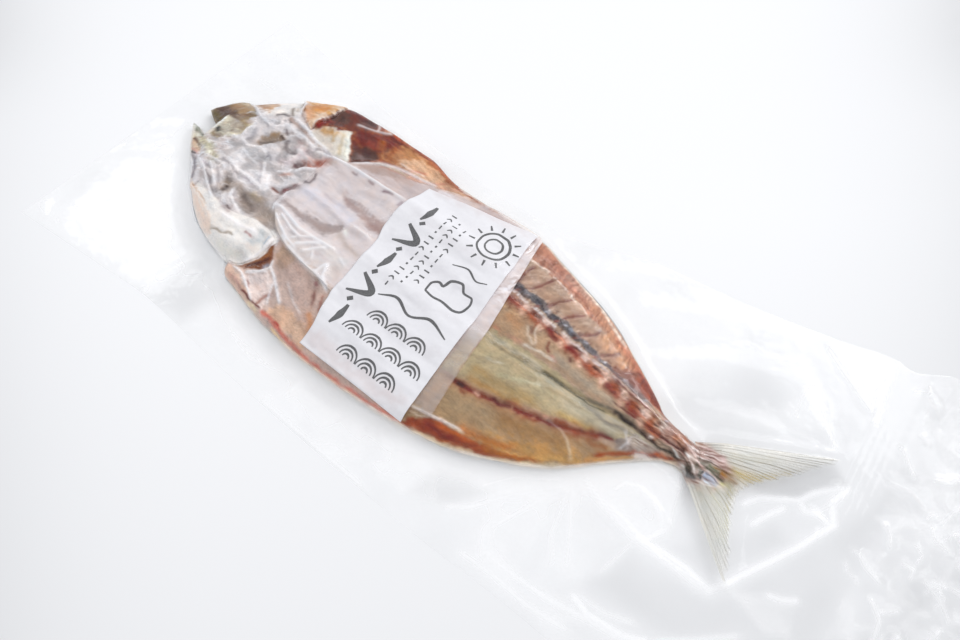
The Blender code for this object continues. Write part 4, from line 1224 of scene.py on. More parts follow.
# the sheet's colours, with painted shade in the valleys and dents of its folds and painted highlights on its
# ridges
SHEET_COATS = [
    (closed((70, 21), (75, 27), (82, 31), (92, 33), (106, 36), (106, 21.4)), 1.0, (206, 190, 188), 0.95),
    ([(80, 27.6), (88, 29.6), (98, 30)], 1.8, (196, 172, 164), 0.8),
    # painted shade: brownish at the left of the upper part, and brown-orange just under its upper edge
    (closed((72, 22), (77, 28.6), (86, 31), (92, 30.6), (85, 26), (79, 22.6)), 3.0, (184, 160, 152), 0.9),
    ([(79, 29.4), (86, 31.4), (93, 32), (99, 33.4)], 0.5, (186, 140, 126), 0.7),
    ([(88, 32.6), (93, 34)], 0.4, (196, 136, 114), 0.7),
    # painted shade in a long valley of the sheet's folds
    (closed((77, 9.6), (84, 8.6), (92, 8), (102, 8.6), (104, 3.4), (98, 2.4), (92, 3.4), (87, 5.4), (83, 5),
            (80, 6)), 2.8, (188, 166, 162), 0.95),
    ([(95, 4.6), (102.6, 4)], 1.3, (176, 146, 140), 0.8),
    ([(56, 13.6), (60, 15.6), (64, 17.8)], 1.7, (198, 156, 146), 0.8),
    ([(60.4, 10.2), (62, 7.6), (62, 5), (59.6, 4)], 0.6, (128, 116, 119), 0.9),
    ([(163, -8), (164.8, -24), (166.6, -40)], 0.5, (190, 146, 122), 0.8),
    ([(157.6, -44), (158.2, -20)], 0.7, (216, 196, 188), 0.7),
    # more painted shade along that valley
    ([(79, 8.2), (83.4, 6)], 0.9, (182, 158, 155), 0.8),
    ([(71, 4.4), (78, 3.4), (83, 4.4)], 0.6, (202, 191, 195), 0.8),
    # painted highlight along the soft ridge below it, with a brighter crest line
    ([(60, 0), (74, 1), (84, 1.6), (91, 0)], 2.8, (227, 223, 231), 0.85),
    ([(62, 3), (70, 3.4)], 0.6, (238, 234, 240), 0.7),
    # painted shade in the fold below that ridge
    (closed((58, -8), (70, -8.4), (78, -7), (84, -5.4), (88, -2.8), (89.8, -4), (88.6, -8), (86, -11.2),
            (74, -11.6), (58, -11.4)), 2.8, (174, 160, 158), 0.95),
    ([(70, -10), (82, -9.2), (88, -6.4)], 1.6, (174, 156, 152), 0.7),
    # a painted highlight, then a second painted shade
    ([(90.4, -3.4), (92.8, -5.8)], 0.8, (246, 243, 236), 0.9),
    ([(89.6, -7), (96, -9), (104, -10.4)], 1.5, (206, 191, 184), 0.85),
    ([(63, -14.6), (67, -18), (72, -21), (76, -23.8)], 1.3, (212, 199, 190), 0.85),
    (closed((66, -16), (78, -18.6), (94, -19), (103, -16), (103, -24), (90, -25), (76, -23)), 4.0,
            (226, 218, 216), 0.75),
    ([(88, -14), (96, -16), (103, -16)], 2.6, (232, 226, 224), 0.8),
    # greyer lines of painted shade beside the folds of the lower part
    ([(68, -16), (76, -16.2), (82, -16.6)], 0.5, (214, 206, 206), 0.8),
    ([(74, -18.6), (82, -19), (88, -17)], 0.5, (208, 200, 200), 0.8),
    ([(84, -23), (92, -22.4), (95, -21)], 1.0, (222, 210, 206), 0.7),
    ([(99, -19), (103, -21), (104, -25)], 1.4, (220, 206, 202), 0.7),
    # painted shade in small dents below the sheet's upper fold
    ([(73.4, 18.6), (77, 18.9)], 0.5, (170, 153, 154), 0.95),
    ([(82, 18.7), (86, 19)], 0.65, (166, 145, 146), 0.95),
    ([(90.4, 19), (93, 20), (95, 20.7)], 0.7, (152, 130, 136), 0.95),
    ([(99.4, 17), (100, 20)], 0.7, (186, 171, 176), 0.85),
    ([(62, 16), (66, 18)], 1.1, (214, 194, 180), 0.6),
    ([(66, 15), (76, 14), (90, 14)], 3.0, (223, 210, 209), 0.6),
]
# Painted highlights on the crests of folded film and membrane, which also stand up a little: path, width,
# strength
LIT_FOLDS = [
    # head
    ([(2, 24.4), (8, 22.6), (14, 20.2), (20, 17.6), (27, 16.8)], 0.6, 0.85),
    ([(20, 5.6), (19, 10), (21, 12.6)], 0.7, 0.75),
    ([(20, 4.6), (26, 3.6), (31, 5.6), (36, 5.4)], 0.65, 0.75),
    ([(38, 2), (44, -4), (50, -10)], 0.55, 0.7),
    ([(45, -2), (52, -10)], 1.1, 0.85),
    ([(26, -7), (34, -9), (42, -9), (51, -10.4)], 0.8, 0.85),
    ([(33, 26), (42, 24.4), (50, 21.8), (58, 20.6)], 0.75, 0.85),
    ([(34, 20.4), (44, 20.6), (52, 18.6)], 0.8, 0.75),
    ([(53, 17.8), (62, 19), (72, 20), (86, 20.5), (100, 21)], 0.6, 0.95),
    ([(52, 5.6), (54, 8.6), (57, 10.4), (59, 11.6)], 0.7, 0.85),
    ([(46, 1), (50, 3), (51, 6)], 0.5, 0.7),
    ([(24, 1.4), (32, -1), (38, -1.6)], 0.6, 0.5),
    ([(28, 17.4), (31, 19), (33, 21)], 0.6, 0.7),
    ([(38, 17), (40, 19), (44, 19.4)], 0.6, 0.6),
    ([(58, -4), (60, -8), (60.6, -12), (61, -14)], 0.7, 0.7),
    ([(6, -13.8), (12, -17), (18, -22.6)], 0.45, 0.8),
    ([(12, -13.4), (20, -16), (28, -21), (38, -26)], 0.6, 0.8),
    ([(20, -12.4), (27, -16.4), (34, -21)], 0.5, 0.7),
    ([(16, -11), (26, -10.6), (30, -12)], 0.6, 0.6),
    ([(40, -17), (42, -20), (46, -22), (52, -24)], 0.6, 0.8),
    ([(46, -29), (58, -28.4), (66, -27.4)], 1.0, 0.8),
    ([(71.9, -24.4), (71.6, -30), (67.6, -37)], 0.7, 0.85),
    ([(24, 19), (29, 20.8), (36, 21.4)], 0.6, 0.5),
    ([(22, 40), (30, 35), (33, 28)], 0.7, 0.8),
    # film over the upper flap
    ([(54, 42), (59, 42.8), (63, 44), (68, 46), (69.6, 47.6)], 0.7, 0.5),
    ([(60, 50.4), (63, 46.6), (64, 44.6)], 0.6, 0.5),
    ([(84, 36.6), (90, 36.4), (97, 38)], 0.5, 0.3),
    # rim and folds of the inner sheet
    ([(71, 21.4), (74, 26.4), (78, 30), (84, 33), (90, 34.4), (98, 35.4), (104, 36.8)], 1.0, 0.6),
    ([(60.6, -14.8), (61.6, -12.6), (64, -12.2), (70, -13.6), (76, -15), (86, -14.6), (95, -13.6)],
      0.75, 0.95),
    ([(66, -14.4), (74, -17), (80, -18)], 0.5, 0.9),
    ([(80, -21.6), (84, -18), (88.6, -14.8)], 0.8, 0.95),
    ([(84.6, -22), (87.6, -18.6), (91.6, -15)], 0.7, 0.95),
    ([(77, -20.6), (80.6, -17), (84, -15)], 0.55, 0.8),
    ([(64, -15.4), (70, -18.8), (76, -21.4), (82, -22.6)], 0.55, 0.85),
    ([(73.6, -21.4), (78, -23.4), (90, -25.4), (98, -26), (104.6, -28.4)], 0.65, 0.85),
    ([(95.4, -26), (96.6, -19.6)], 0.8, 0.95),
    ([(96.6, -19.6), (99, -25), (104.6, -28.6)], 0.7, 0.95),
    ([(88, -19), (90.4, -22.6)], 0.5, 0.7),
    ([(98, -15), (103, -17)], 0.6, 0.5),
    ([(92, -0.6), (103, -1.4)], 0.6, 0.6),
    # tail half
    ([(198, -18.4), (205, -18.6), (210, -21), (213, -25)], 0.35, 0.12),
    ([(222, -4.6), (225, -8), (224, -11.4)], 0.5, 0.3),
    ([(157, -43.4), (166, -41.6), (177, -39.4)], 0.5, 0.5),
    # belly flap
    ([(78, -33.4), (82, -35.4), (88, -39.6), (92.4, -42.8)], 0.65, 0.9),
    ([(64.6, -41.4), (71, -42), (77, -45), (82.4, -48)], 0.5, 0.85),
    ([(79, -35.4), (74.4, -39.8), (72, -41.2)], 0.5, 0.75),
    ([(77.6, -31), (78.8, -34), (76.4, -37.4), (72, -40.6)], 0.4, 0.8),
    ([(84, -38), (86, -42), (88.6, -46)], 0.5, 0.6),
    ([(88, -34), (96, -39), (102, -41)], 0.5, 0.35),
]
# Fibres of the flesh: outline, softness, angle, length, width, strength
FIBRE_HUE = np.array([0.75, 1.0, 1.1])
FIBRES = [
    ([(150, 52), (229, 14), (229, 9), (205, 14), (188, 23.6), (160, 31), (150, 32)], 2.0, 96, 4.2, 0.8, 0.6),
    ([(156, 31), (188, 24), (214, 11), (205, 10), (156, 18)], 2.0, 50, 4.0, 1.0, 0.34),
    ([(156, 12), (212, 4), (250, 3), (262, 4), (262, -4), (244, -6), (222, -14), (156, -28)],
      3.0, 20, 9.0, 1.6, 0.12),
    ([(156, -28), (216, -14), (232, -8), (205, -34), (156, -52)], 3.0, 12, 7.0, 1.6, 0.14),
    ([(226, 14), (262, 14), (262, -8), (226, -8)], 6.0, 8, 5.0, 0.8, 0.9),
    ([(42, 54), (78, 54), (78, 30), (72, 20), (56, 38), (44, 26)], 3.0, -52, 4.0, 0.9, 0.6),
    ([(76, 54), (112, 54), (112, 36), (80, 30)], 4.0, -10, 8.0, 0.9, 0.34),
    ([(62, -38), (74, -22), (108, -28), (112, -56), (62, -50)], 2.0, -30, 6.0, 1.8, 0.2),
    ([(20, 42), (44, 52), (44, 24), (30, 30)], 2.0, 20, 4.0, 1.2, 0.3),
    ([(-12, 30), (20, 30), (20, -20), (-12, -6)], 3.0, 30, 3.0, 0.9, 0.4),
    ([(150, 15), (245, 6), (245, 0), (150, 8)], 1.5, 30, 2.2, 1.0, 0.55),
    ([(157, 20), (175, 19), (207, 13), (207, 9.4), (157, 14.6)], 0.8, 78, 2.4, 0.55, 0.8),
    ([(156, -42), (186, -38), (206, -30), (200, -38), (160, -52)], 1.2, 16, 3.0, 0.9, 0.4),
]
# Where thin membrane and film lie crumpled over the head and the sheet
MEMBRANE = [
    (5, 13), (12, 20), (24, 22), (33, 27), (44, 23), (56, 20.6), (70, 20.6), (76, 27), (86, 31), (104, 33),
    (104, -27), (90, -25.6), (80, -24), (70, -22), (56, -24), (46, -27), (34, -26), (22, -23), (10, -13),
]

# ---------------------------------------------------------------- the fish

# Grids are counted along the piece and across it, and heights are above the table
FLESH_GRID = (520, 184)
SKIN_GRID = (220, 60)
# Rows of points crowd towards the rim, which turns down sharply
RIM_CROWD = 0.06
RIM_FOOT = 1.2
SKIN_REACH = 0.35
SKIN_HEIGHT = 0.5
SKIN_RIM_RISE = 2.0
PATCH_LIFT = 0.4
SKIN_GREY = (150, 158, 166)
SKIN_COATS = [
    ([(5, 2), (100, 0), (190, 0)], 9.0, (66, 84, 92), 0.9),
    ([(185, 0), (234, 1)], 3.0, (66, 84, 92), 0.8),
    ([(60, 30), (150, 22), (240, 4)], 4.0, (188, 186, 160), 0.5),
    ([(60, -30), (150, -26), (240, -2)], 4.0, (188, 186, 160), 0.5),
    ([(46, 49), (110, 45), (154, 43), (208, 23), (229, 10), (256, 3)], 3.0, (226, 212, 190), 0.9),
    ([(64, -46), (114, -53), (159, -50), (209, -30), (231, -9), (256, 0)], 3.0, (226, 212, 190), 0.9),
]
SKIN_PAINT = painted_material("dried_skin_and_bone", fibre=1700.0, mottling=0.45, roughness=0.32, bump=0.2)


def ragged(x, seed):
    """Small nicks along a cut or torn rim."""
    return 0.28 * mottle(x, 0 * x, 1.5, seed) + 0.3 * mottle(x, 0 * x, 4.5, seed + 1)


def build_body():
    """The opened fish's upper side, from the mouth to the tail root."""
    x, share = grid_of(BODY_START_X, BODY_END_X, *FLESH_GRID)
    crowded = np.cos(math.pi * (RIM_CROWD + (1 - 2 * RIM_CROWD) * share))
    share = 0.5 - 0.5 * crowded / math.cos(RIM_CROWD * math.pi)
    belly, backbone = edges_at(x)
    belly = belly + ragged(x, 91)
    backbone = backbone + ragged(x, 94) * (1 + 0.9 * np.exp(-(((x - 75) / 32) ** 2)))
    y = belly + (backbone - belly) * share
    z = fish_height(x, y)
    z[:, [0, -1]] = RIM_FOOT
    material = painted_material("dried_flesh", roughness=0.36, bump=0.35)
    grid_piece("opened_fish", x, y, z, material, fish_paint(x, y))
    press_in(x, y, z)


def build_skin():
    """The skin under the fish, with its rim just outside the flesh."""
    x, share = grid_of(BODY_START_X - 0.5, BODY_END_X, *SKIN_GRID)
    belly, backbone = edges_at(x)
    belly, backbone = belly - SKIN_REACH, backbone + SKIN_REACH
    y = belly + (backbone - belly) * share
    z = SKIN_HEIGHT + SKIN_RIM_RISE * np.abs(2 * share - 1) ** 14 * smooth_step((246 - x) / 60)
    colours = painted(x, y, SKIN_GREY, SKIN_COATS, wander=1.5)
    material = painted_material("silvery_skin", fibre=1500.0, mottling=0.3, roughness=0.3, bump=0.3)
    grid_piece("skin_side", x, y, z, material, colours, thickness=0.3)


def build_patch(name, edge_a, edge_b, rise, size, base=None, creases=(), blunt=3.0, thickness=1.0):
    """A separate part of the head, domed between its two edges and laid on what is under it."""
    x, y, along, across = between(edge_a, edge_b, *size)
    dome = (1 - np.abs(2 * across - 1) ** blunt) * np.minimum(1, 6 * np.minimum(along, 1 - along) + 0.25)
    under = read_height(softened(contents, 1), x, y) if base is None else base + 0.17 * (x + 9)
    z = under + PATCH_LIFT + rise * dome + 0.6 * fold_relief(x, y) + ridges(x, y, creases)
    z = z + 0.1 * mottle(x, y, 1.7, 21)
    grid_piece(name, x, y, z, SKIN_PAINT, fish_paint(x, y), thickness=thickness)
    press_in(x, y, z)


def build_head():
    """The thin ends of the mouth, the cheek and the gill cover."""
    build_patch(
        "upper_jaw",
        [(-10, 10.6), (-6, 8.4), (-1, 6.4), (6, 9.6), (12, 11.6), (18, 16)],
        [(-10, 11), (-6, 16.6), (-1, 22.6), (5, 24), (12, 21.4), (18.4, 17.2)],
        1.9, size=(110, 64), base=1.8, thickness=3.0,
        creases=[([(-6, 13), (4, 12), (9, 10.6)], -0.5, 1.4), ([(-4, 18), (6, 17.6), (13, 16)], 0.4, 1.6)],
    )
    build_patch(
        "lower_jaw",
        [(-10, 0.6), (-5, -4.5), (0, -9), (5, -12.8), (10, -16.3), (16, -21), (22, -26)],
        [(-10, 0.9), (-3, -0.4), (3, -2.4), (8, -6), (12, -9.5), (18, -14), (24, -20)],
        1.4, size=(120, 54), base=2.4, thickness=3.0,
        creases=[([(0, -6.6), (8, -8.6)], -0.4, 0.8), ([(5, -12.4), (10, -12.7)], -0.3, 0.6),
                 ([(7, -13.6), (16, -18.4), (20, -23.6)], -0.4, 0.9)],
    )
    build_patch(
        "cheek_flap",
        [(21.6, 41), (28, 35.5), (33, 30), (38, 27.5), (43, 25)],
        [(21.6, 41.6), (28, 46.4), (36, 49), (42, 48), (43.9, 38), (43.4, 25.4)],
        0.7, size=(80, 80), creases=[([(26, 40), (32, 33), (36, 29)], 0.5, 1.2)], blunt=6.0,
    )
    build_patch(
        "gill_cover",
        [(22, -26.4), (30, -31.8), (40, -37), (50, -40), (60, -41.4), (66, -39), (70.5, -33.6),
         (72.8, -28.5)],
        [(22, -25.4), (28, -24.4), (35, -24.4), (42, -25.4), (48, -25.8), (56, -24), (65, -22.4),
         (72.6, -24.5)],
        1.2, size=(150, 70),
        creases=[
            ([(26, -27), (36, -30), (46, -34)], 0.4, 0.9),
            ([(47, -35.6), (53, -34.4), (58, -33.3)], -0.4, 0.5),
            ([(62, -24), (66, -28), (65, -35)], 0.5, 1.5),
            ([(30, -30), (44, -36)], 0.3, 1.0),
            ([(68, -24), (69, -30)], -0.4, 0.9),
        ], blunt=2.4, thickness=1.6,
    )


# ---------------------------------------------------------------- tail fin

# The fin's rays run from its root to its forked rear edge
FIN_ROOT = [(243.4, 9.2), (246.4, 5.8), (247.6, 2.2), (247, -1), (245, -3.3)]
FIN_EDGE = [
    (286.6, 33.6), (281, 25.6), (275, 17.6), (269, 10.8), (264.6, 5), (263.4, 1), (265, -5.6), (268.4, -13),
    (271.2, -20.4), (273.8, -27.8),
]
FIN_GRID = (80, 420)
FIN_HEIGHT = 2.6
FIN_ROOT_RISE = 2.3
FIN_RAYS = 18
CLEAR_FIN = (238, 235, 224)
RAY_BROWN = (88, 78, 64)
FIN_COATS = [
    ([(257, 6.4), (262, 7.4), (267, 9.8), (272, 14), (276, 18)], 1.9, (196, 170, 88), 0.85),
    ([(256, 5.4), (259, 4.4), (262, 3.2)], 1.6, (150, 116, 60), 0.9),
    ([(258, 2.4), (261, 0.8), (261.6, -2.4)], 1.6, (172, 162, 112), 0.75),
    ([(254, 10), (262, 15), (270, 20)], 1.6, (206, 200, 176), 0.5),
    ([(256, -4), (260, -6), (264, -10), (267, -17)], 2.6, (226, 224, 204), 0.7),
    ([(262, -3), (264.4, -8), (266, -12)], 0.8, (206, 196, 150), 0.6),
    ([(250, -4), (256, -9), (262, -15)], 1.2, (176, 172, 152), 0.5),
]


def build_tail():
    """The rayed fin, with the torn end of the tail at its root."""
    root, edge = smooth_line(FIN_ROOT, FIN_GRID[1]), smooth_line(FIN_EDGE, FIN_GRID[1])
    along, across = grid_of(0, 1, *FIN_GRID)
    x = root[:, 0] * (1 - along) + edge[:, 0] * along
    y = root[:, 1] * (1 - along) + edge[:, 1] * along
    # a ragged rear edge
    x = x + along ** 6 * 0.9 * mottle(across * 60, 0 * along, 1.0, 71)
    wobble = across * FIN_RAYS + 0.3 * mottle(along * 3, across * 11, 1.0, 72)
    ray, fine = ((1 - np.abs(np.sin(k * wobble * math.pi))) ** 2.0 for k in (1, 2))
    share = smooth_step((along - 0.5) / 0.35)
    ray = ray * (1 - share) + fine * share
    strong = np.clip(0.62 + 0.6 * mottle(np.round(wobble) * 1.7, along * 2.5, 1.0, 73), 0.12, 1)
    rim = np.minimum(across, 1 - across)
    lead = smooth_step(1 - rim / 0.05)
    fork = np.exp(-(((across - 0.5) / 0.12) ** 2))
    middle = 1 - 0.6 * (2 * across - 1) ** 2
    z = FIN_HEIGHT + FIN_ROOT_RISE * (1 - along) * middle + 0.22 * ray * along
    # its root lies close on the end of the body
    off_body = smooth_step(along / 0.22)
    z = z * off_body + (fish_height(x, y) + 0.2) * (1 - off_body)
    reach = along * np.hypot(*(edge - root).T)
    root_depth = 1.5 + 7.5 * np.exp(-(((across - 0.5) / 0.3) ** 2))
    rayed = smooth_step((reach - root_depth + 1.2 * mottle(x, y, 2.0, 74)) / 5.0)
    rays = laid_over(tint(CLEAR_FIN), RAY_BROWN, np.clip(ray * strong * (1.25 - 0.3 * along) + 0.06, 0, 1))
    for path, width, colour, strength in FIN_COATS:
        rays = laid_over(rays, colour, along_path(x, y, path, width) * strength)
    colours = fish_paint(x, y) * (1 - rayed[..., None]) + rays * rayed[..., None]
    cover = 0.26 + 0.34 * (1 - along) + 0.16 * fork + 0.8 * ray * strong * (1 - 0.25 * along) + 0.2 * lead
    cover = cover * rayed + (1 - rayed) * smooth_step(0.3 + rim / 0.04)
    # the rear edge fades away
    cover = cover * smooth_step(0.25 + (1 - along) / 0.1)
    material = painted_material("rayed_fin", 1600.0, mottling=0.2, roughness=0.45, bump=0.2, cover=True)
    grid_piece("tail_fin", x, y, z, material, colours, {"cover": np.clip(cover, 0, 1)})
    press_in(x, y, z)


# ---------------------------------------------------------------- inner sheet and label

SHEET_RIDGES = [
    ([(60, 1), (75, 0.5), (88, -1), (102, -2)], 0.9, 1.6),
    ([(66, 10), (80, 11), (101, 10)], 0.4, 2.4),
    ([(72, -8.6), (84, -7.4), (89, -4)], -0.9, 2.0),
    ([(78, 7), (90, 6), (103, 5)], -0.8, 1.8),
]
SHEET_GRID = (260, 150)
SHEET_LIFT = 0.35
SHEET_COVER = 0.92
PALE_PINK = (231, 220, 220)
MEMBRANE_OUTLINE = closed(
    (56, -12), (64, -15), (72, -20.6), (80, -23.6), (98, -26), (107, -28), (170, -44), (170, 50), (112, 40),
    (104, 36.4), (92, 34), (82, 31), (75, 27), (71, 21), (56, 20),
)


def build_sheet():
    """The milky sheet between the fish and the label."""
    base = draped(0.012, 260, 2)
    x, y, along, across = between(
        [(57, -11), (60, -13), (64, -16), (70, -21), (80, -24.6), (96, -26.6), (106, -28.5), (112, -44),
         (124, -47.5), (140, -48.5), (158, -46.5), (166.4, -41)],
        [(61, 17), (63, 19.6), (66, 20.2), (69, 21), (74, 27), (84, 31), (96, 33), (106, 37), (122, 42.5),
         (140, 44.6), (151, 45), (154.4, 42)],
        *SHEET_GRID,
    )
    x = x + 1.4 * along ** 4 * np.sin(math.pi * across)
    z = read_height(base, x, y) + SHEET_LIFT + fold_relief(x, y) + 0.5 * crumpled(x, y)
    z = z + ridges(x, y, SHEET_RIDGES) + 0.12 * mottle(x, y * 2.5, 6.0, 31)
    z = np.maximum(z, read_height(highest(contents), x, y) + 0.05)
    colours = fish_paint(x, y, [(MEMBRANE_OUTLINE, 4.0, PALE_PINK, 1.0)] + SHEET_COATS)
    edge = np.minimum(across, 1 - across) * 70
    cover = SHEET_COVER * smooth_step(0.2 + (x - 58) / 8) * smooth_step(edge + 0.25)
    # the strip that shows on the tail side of the label: whitish above, clearer below
    behind = smooth_step((x - (151.5 + (30 - y) * 0.06)) / 3)
    strip = SHEET_COVER - 0.62 * smooth_step((2 - y) / 22)
    cover = cover * (1 - behind) + behind * strip
    over = smooth_step((y - 36) / 3) * smooth_step((x - 104) / 5) * (1 - behind)
    cover = cover * (1 - over) + over * 0.55
    material = painted_material("milky_sheet", 900.0, mottling=0.16, roughness=0.4, bump=0.15, cover=True)
    grid_piece("inner_sheet", x, y, z, material, colours, {"cover": cover})
    press_in(x, y, z)


LABEL_LEFT = [(110, -49.6), (109.6, -42), (107.8, -35), (106, -25), (105, -10), (104, 0), (101.4, 8),
              (101, 14), (101.6, 22), (102.6, 28), (103, 33)]
LABEL_RIGHT = [
    (159, -49.6), (158.4, -36), (157.4, -20), (156.4, -5), (155, 10), (153.6, 24), (152.4, 34), (151.5, 43),
]
LABEL_GRID = (170, 100)
LABEL_LIFT = 0.45
PAPER = 0.12
INK = 0.05
PAPER_WHITE = (237, 236, 240)
# painted shade: soft greyer bands across the label's rippled paper
LABEL_SHADE_BANDS = [
    ([(104, 6), (125, 4), (155, 2)], 2.4, (216, 214, 219), 0.5),
    ([(103, 20), (125, 17), (154, 19)], 2.0, (220, 217, 221), 0.45),
    ([(106, -24), (130, -26), (157, -24)], 2.4, (216, 213, 217), 0.5),
    ([(106, -10), (130, -12), (157, -9)], 1.8, (220, 218, 222), 0.4),
    ([(108, -45), (130, -47), (158, -45)], 3.0, (222, 208, 208), 0.5),
    ([(104, 34), (124, 38), (152, 41)], 2.6, (222, 212, 213), 0.45),
]


def label_surface(x, y, base):
    """Height of the label's paper, slightly waved."""
    ripple = 0.22 * np.sin(y / 2.2 + 0.7 * np.sin(x / 11)) * np.exp(-((y + 4) / 34) ** 2)
    ripple = ripple + 0.3 * np.sin(y / 4.1 + x / 30) + 0.3 * mottle(x * 0.6, y * 2, 9.0, 44)
    ripple = ripple + 0.14 * mottle(x * 0.5, y * 1.6, 3.0, 45)
    laid = read_height(base, x, y) + LABEL_LIFT + ripple
    return np.maximum(laid, read_height(highest(sheet_top), x, y) + PAPER)


def ribbon(path, widths, count):
    """Plan of an inked stroke: a band along a smooth line, with its width at each point."""
    line = smooth_line(path, count)
    tangent = np.gradient(line, axis=0)
    tangent /= np.maximum(np.hypot(*tangent.T), 1e-6)[:, None]
    side = np.stack([-tangent[:, 1], tangent[:, 0]], axis=1)
    width = np.interp(np.linspace(0, 1, count), np.linspace(0, 1, len(widths)), widths)
    lanes = np.linspace(-0.5, 0.5, 5)
    plan = line[:, None] + side[:, None] * (width[:, None] * lanes)[..., None]
    return plan[..., 0], plan[..., 1]


def arc(centre, radius, start, end):
    angles = np.radians(np.linspace(start, end, 12))
    return [(centre[0] + radius * math.cos(a), centre[1] + radius * math.sin(a)) for a in angles]


def small_mark(kind, x, y):
    """One of four small printed marks: a bar, a dot, an upright or a peak."""
    if kind == 0:
        return [(x - 1.2, y), (x + 1.2, y)], [0.55, 0.7], 8
    if kind == 1:
        return [(x - 0.4, y), (x + 0.4, y)], [0.9, 0.9], 4
    if kind == 2:
        return [(x, y - 0.9), (x, y + 0.9)], [0.7, 0.5], 8
    return [(x - 1.2, y - 0.4), (x, y + 0.6), (x + 1.2, y - 0.4)], [0.4, 0.7, 0.4], 12


def label_design():
    """A plain printed design: brushed marks, a sun, a cloud, rolling waves, and rows of bars and dots."""
    strokes = []
    for row, y in enumerate((-44, -35.6, -27.2)):
        for column in range(3 + row % 2):
            centre = (128 + column * 9 - (row % 2) * 4.5, y)
            strokes += [(arc(centre, radius, 0, 180), [0.5, 0.9, 0.5], 26) for radius in (4.3, 2.8, 1.3)]
    sun = (142, 26)
    strokes.append((arc(sun, 6.6, 40, 400), [1.2, 0.8, 1.2], 70))
    strokes.append((arc(sun, 3.6, 200, 560), [0.7, 1.0, 0.7], 50))
    for spoke in range(12):
        angle = math.radians(spoke * 30 + 12)
        ray = [(sun[0] + reach * math.cos(angle), sun[1] + reach * math.sin(angle)) for reach in (8.2, 10.8)]
        strokes.append((ray, [1.0, 0.6], 8))
    # brushed marks down the head side
    for step, (y, swing) in enumerate(((23, 1.8), (9.5, -2.0), (-4, 1.9), (-18, -2.0), (-32, 1.8))):
        mark = [(110 + 0.6 * step + swing, y - 5.6), (114.8 + 0.6 * step - swing, y - 1.2),
                (111 + 0.6 * step + swing, y + 4.0)]
        strokes.append((mark, [0.8, 3.0, 1.2], 30))
    strokes += [([(113, y - 0.9), (114.6, y + 0.8)], [1.6, 1.7], 8) for y in (16.4, 2.2, -11.6, -25.6)]
    # three columns of small marks
    for column, x in enumerate((120.6, 124.8, 129.0)):
        for step in range(15 - 2 * column):
            y = 28 - column * 2 - 2.9 * step
            strokes.append(small_mark((step * 3 + column * 5 + step // 3) % 4, x, y))
    # a cloud, and a long ripple under it
    cloud = [(134, -6), (133.6, -2.4), (136.2, 0), (138, -0.6), (139.4, 3), (143.4, 4.6), (146.6, 1.8),
             (149.6, 2), (151.2, -1), (150.2, -5), (147, -6.4), (142, -6), (138, -6.6), (134, -6)]
    ripple = [(121, -18), (128, -15), (136, -18), (144, -14.8), (153, -17.6)]
    strokes.append((cloud, [0.8, 1.2, 0.8, 1.1, 0.8], 110))
    strokes.append((ripple, [0.5, 1.2, 0.9, 1.2, 0.5], 60))
    strokes.append(([(135, 9), (141, 11), (147, 8.6), (151, 10)], [0.4, 0.8, 0.4], 40))
    return strokes


def build_label():
    """The paper label and its print."""
    base = draped(0.006, 500, 4)
    sheet_top[:] = contents
    x, y, _, _ = between(LABEL_LEFT, LABEL_RIGHT, *LABEL_GRID)
    z = label_surface(x, y, base)
    colours = painted(x, y, PAPER_WHITE, LABEL_SHADE_BANDS, wander=1.5)
    grid_piece("paper_label", x, y, z, paper_material(), colours, thickness=PAPER)
    corners, faces = [], []
    for path, widths, count in label_design():
        sx, sy = ribbon(path, widths, count)
        faces.append(quads(*sx.shape, first=sum(map(len, corners))))
        corners.append(np.stack([sx, sy, label_surface(sx, sy, base) + INK], axis=-1).reshape(-1, 3))
    pack_piece("label_print", np.concatenate(corners), np.concatenate(faces), ink_material())
    press_in(x, y, z)


# ---------------------------------------------------------------- film

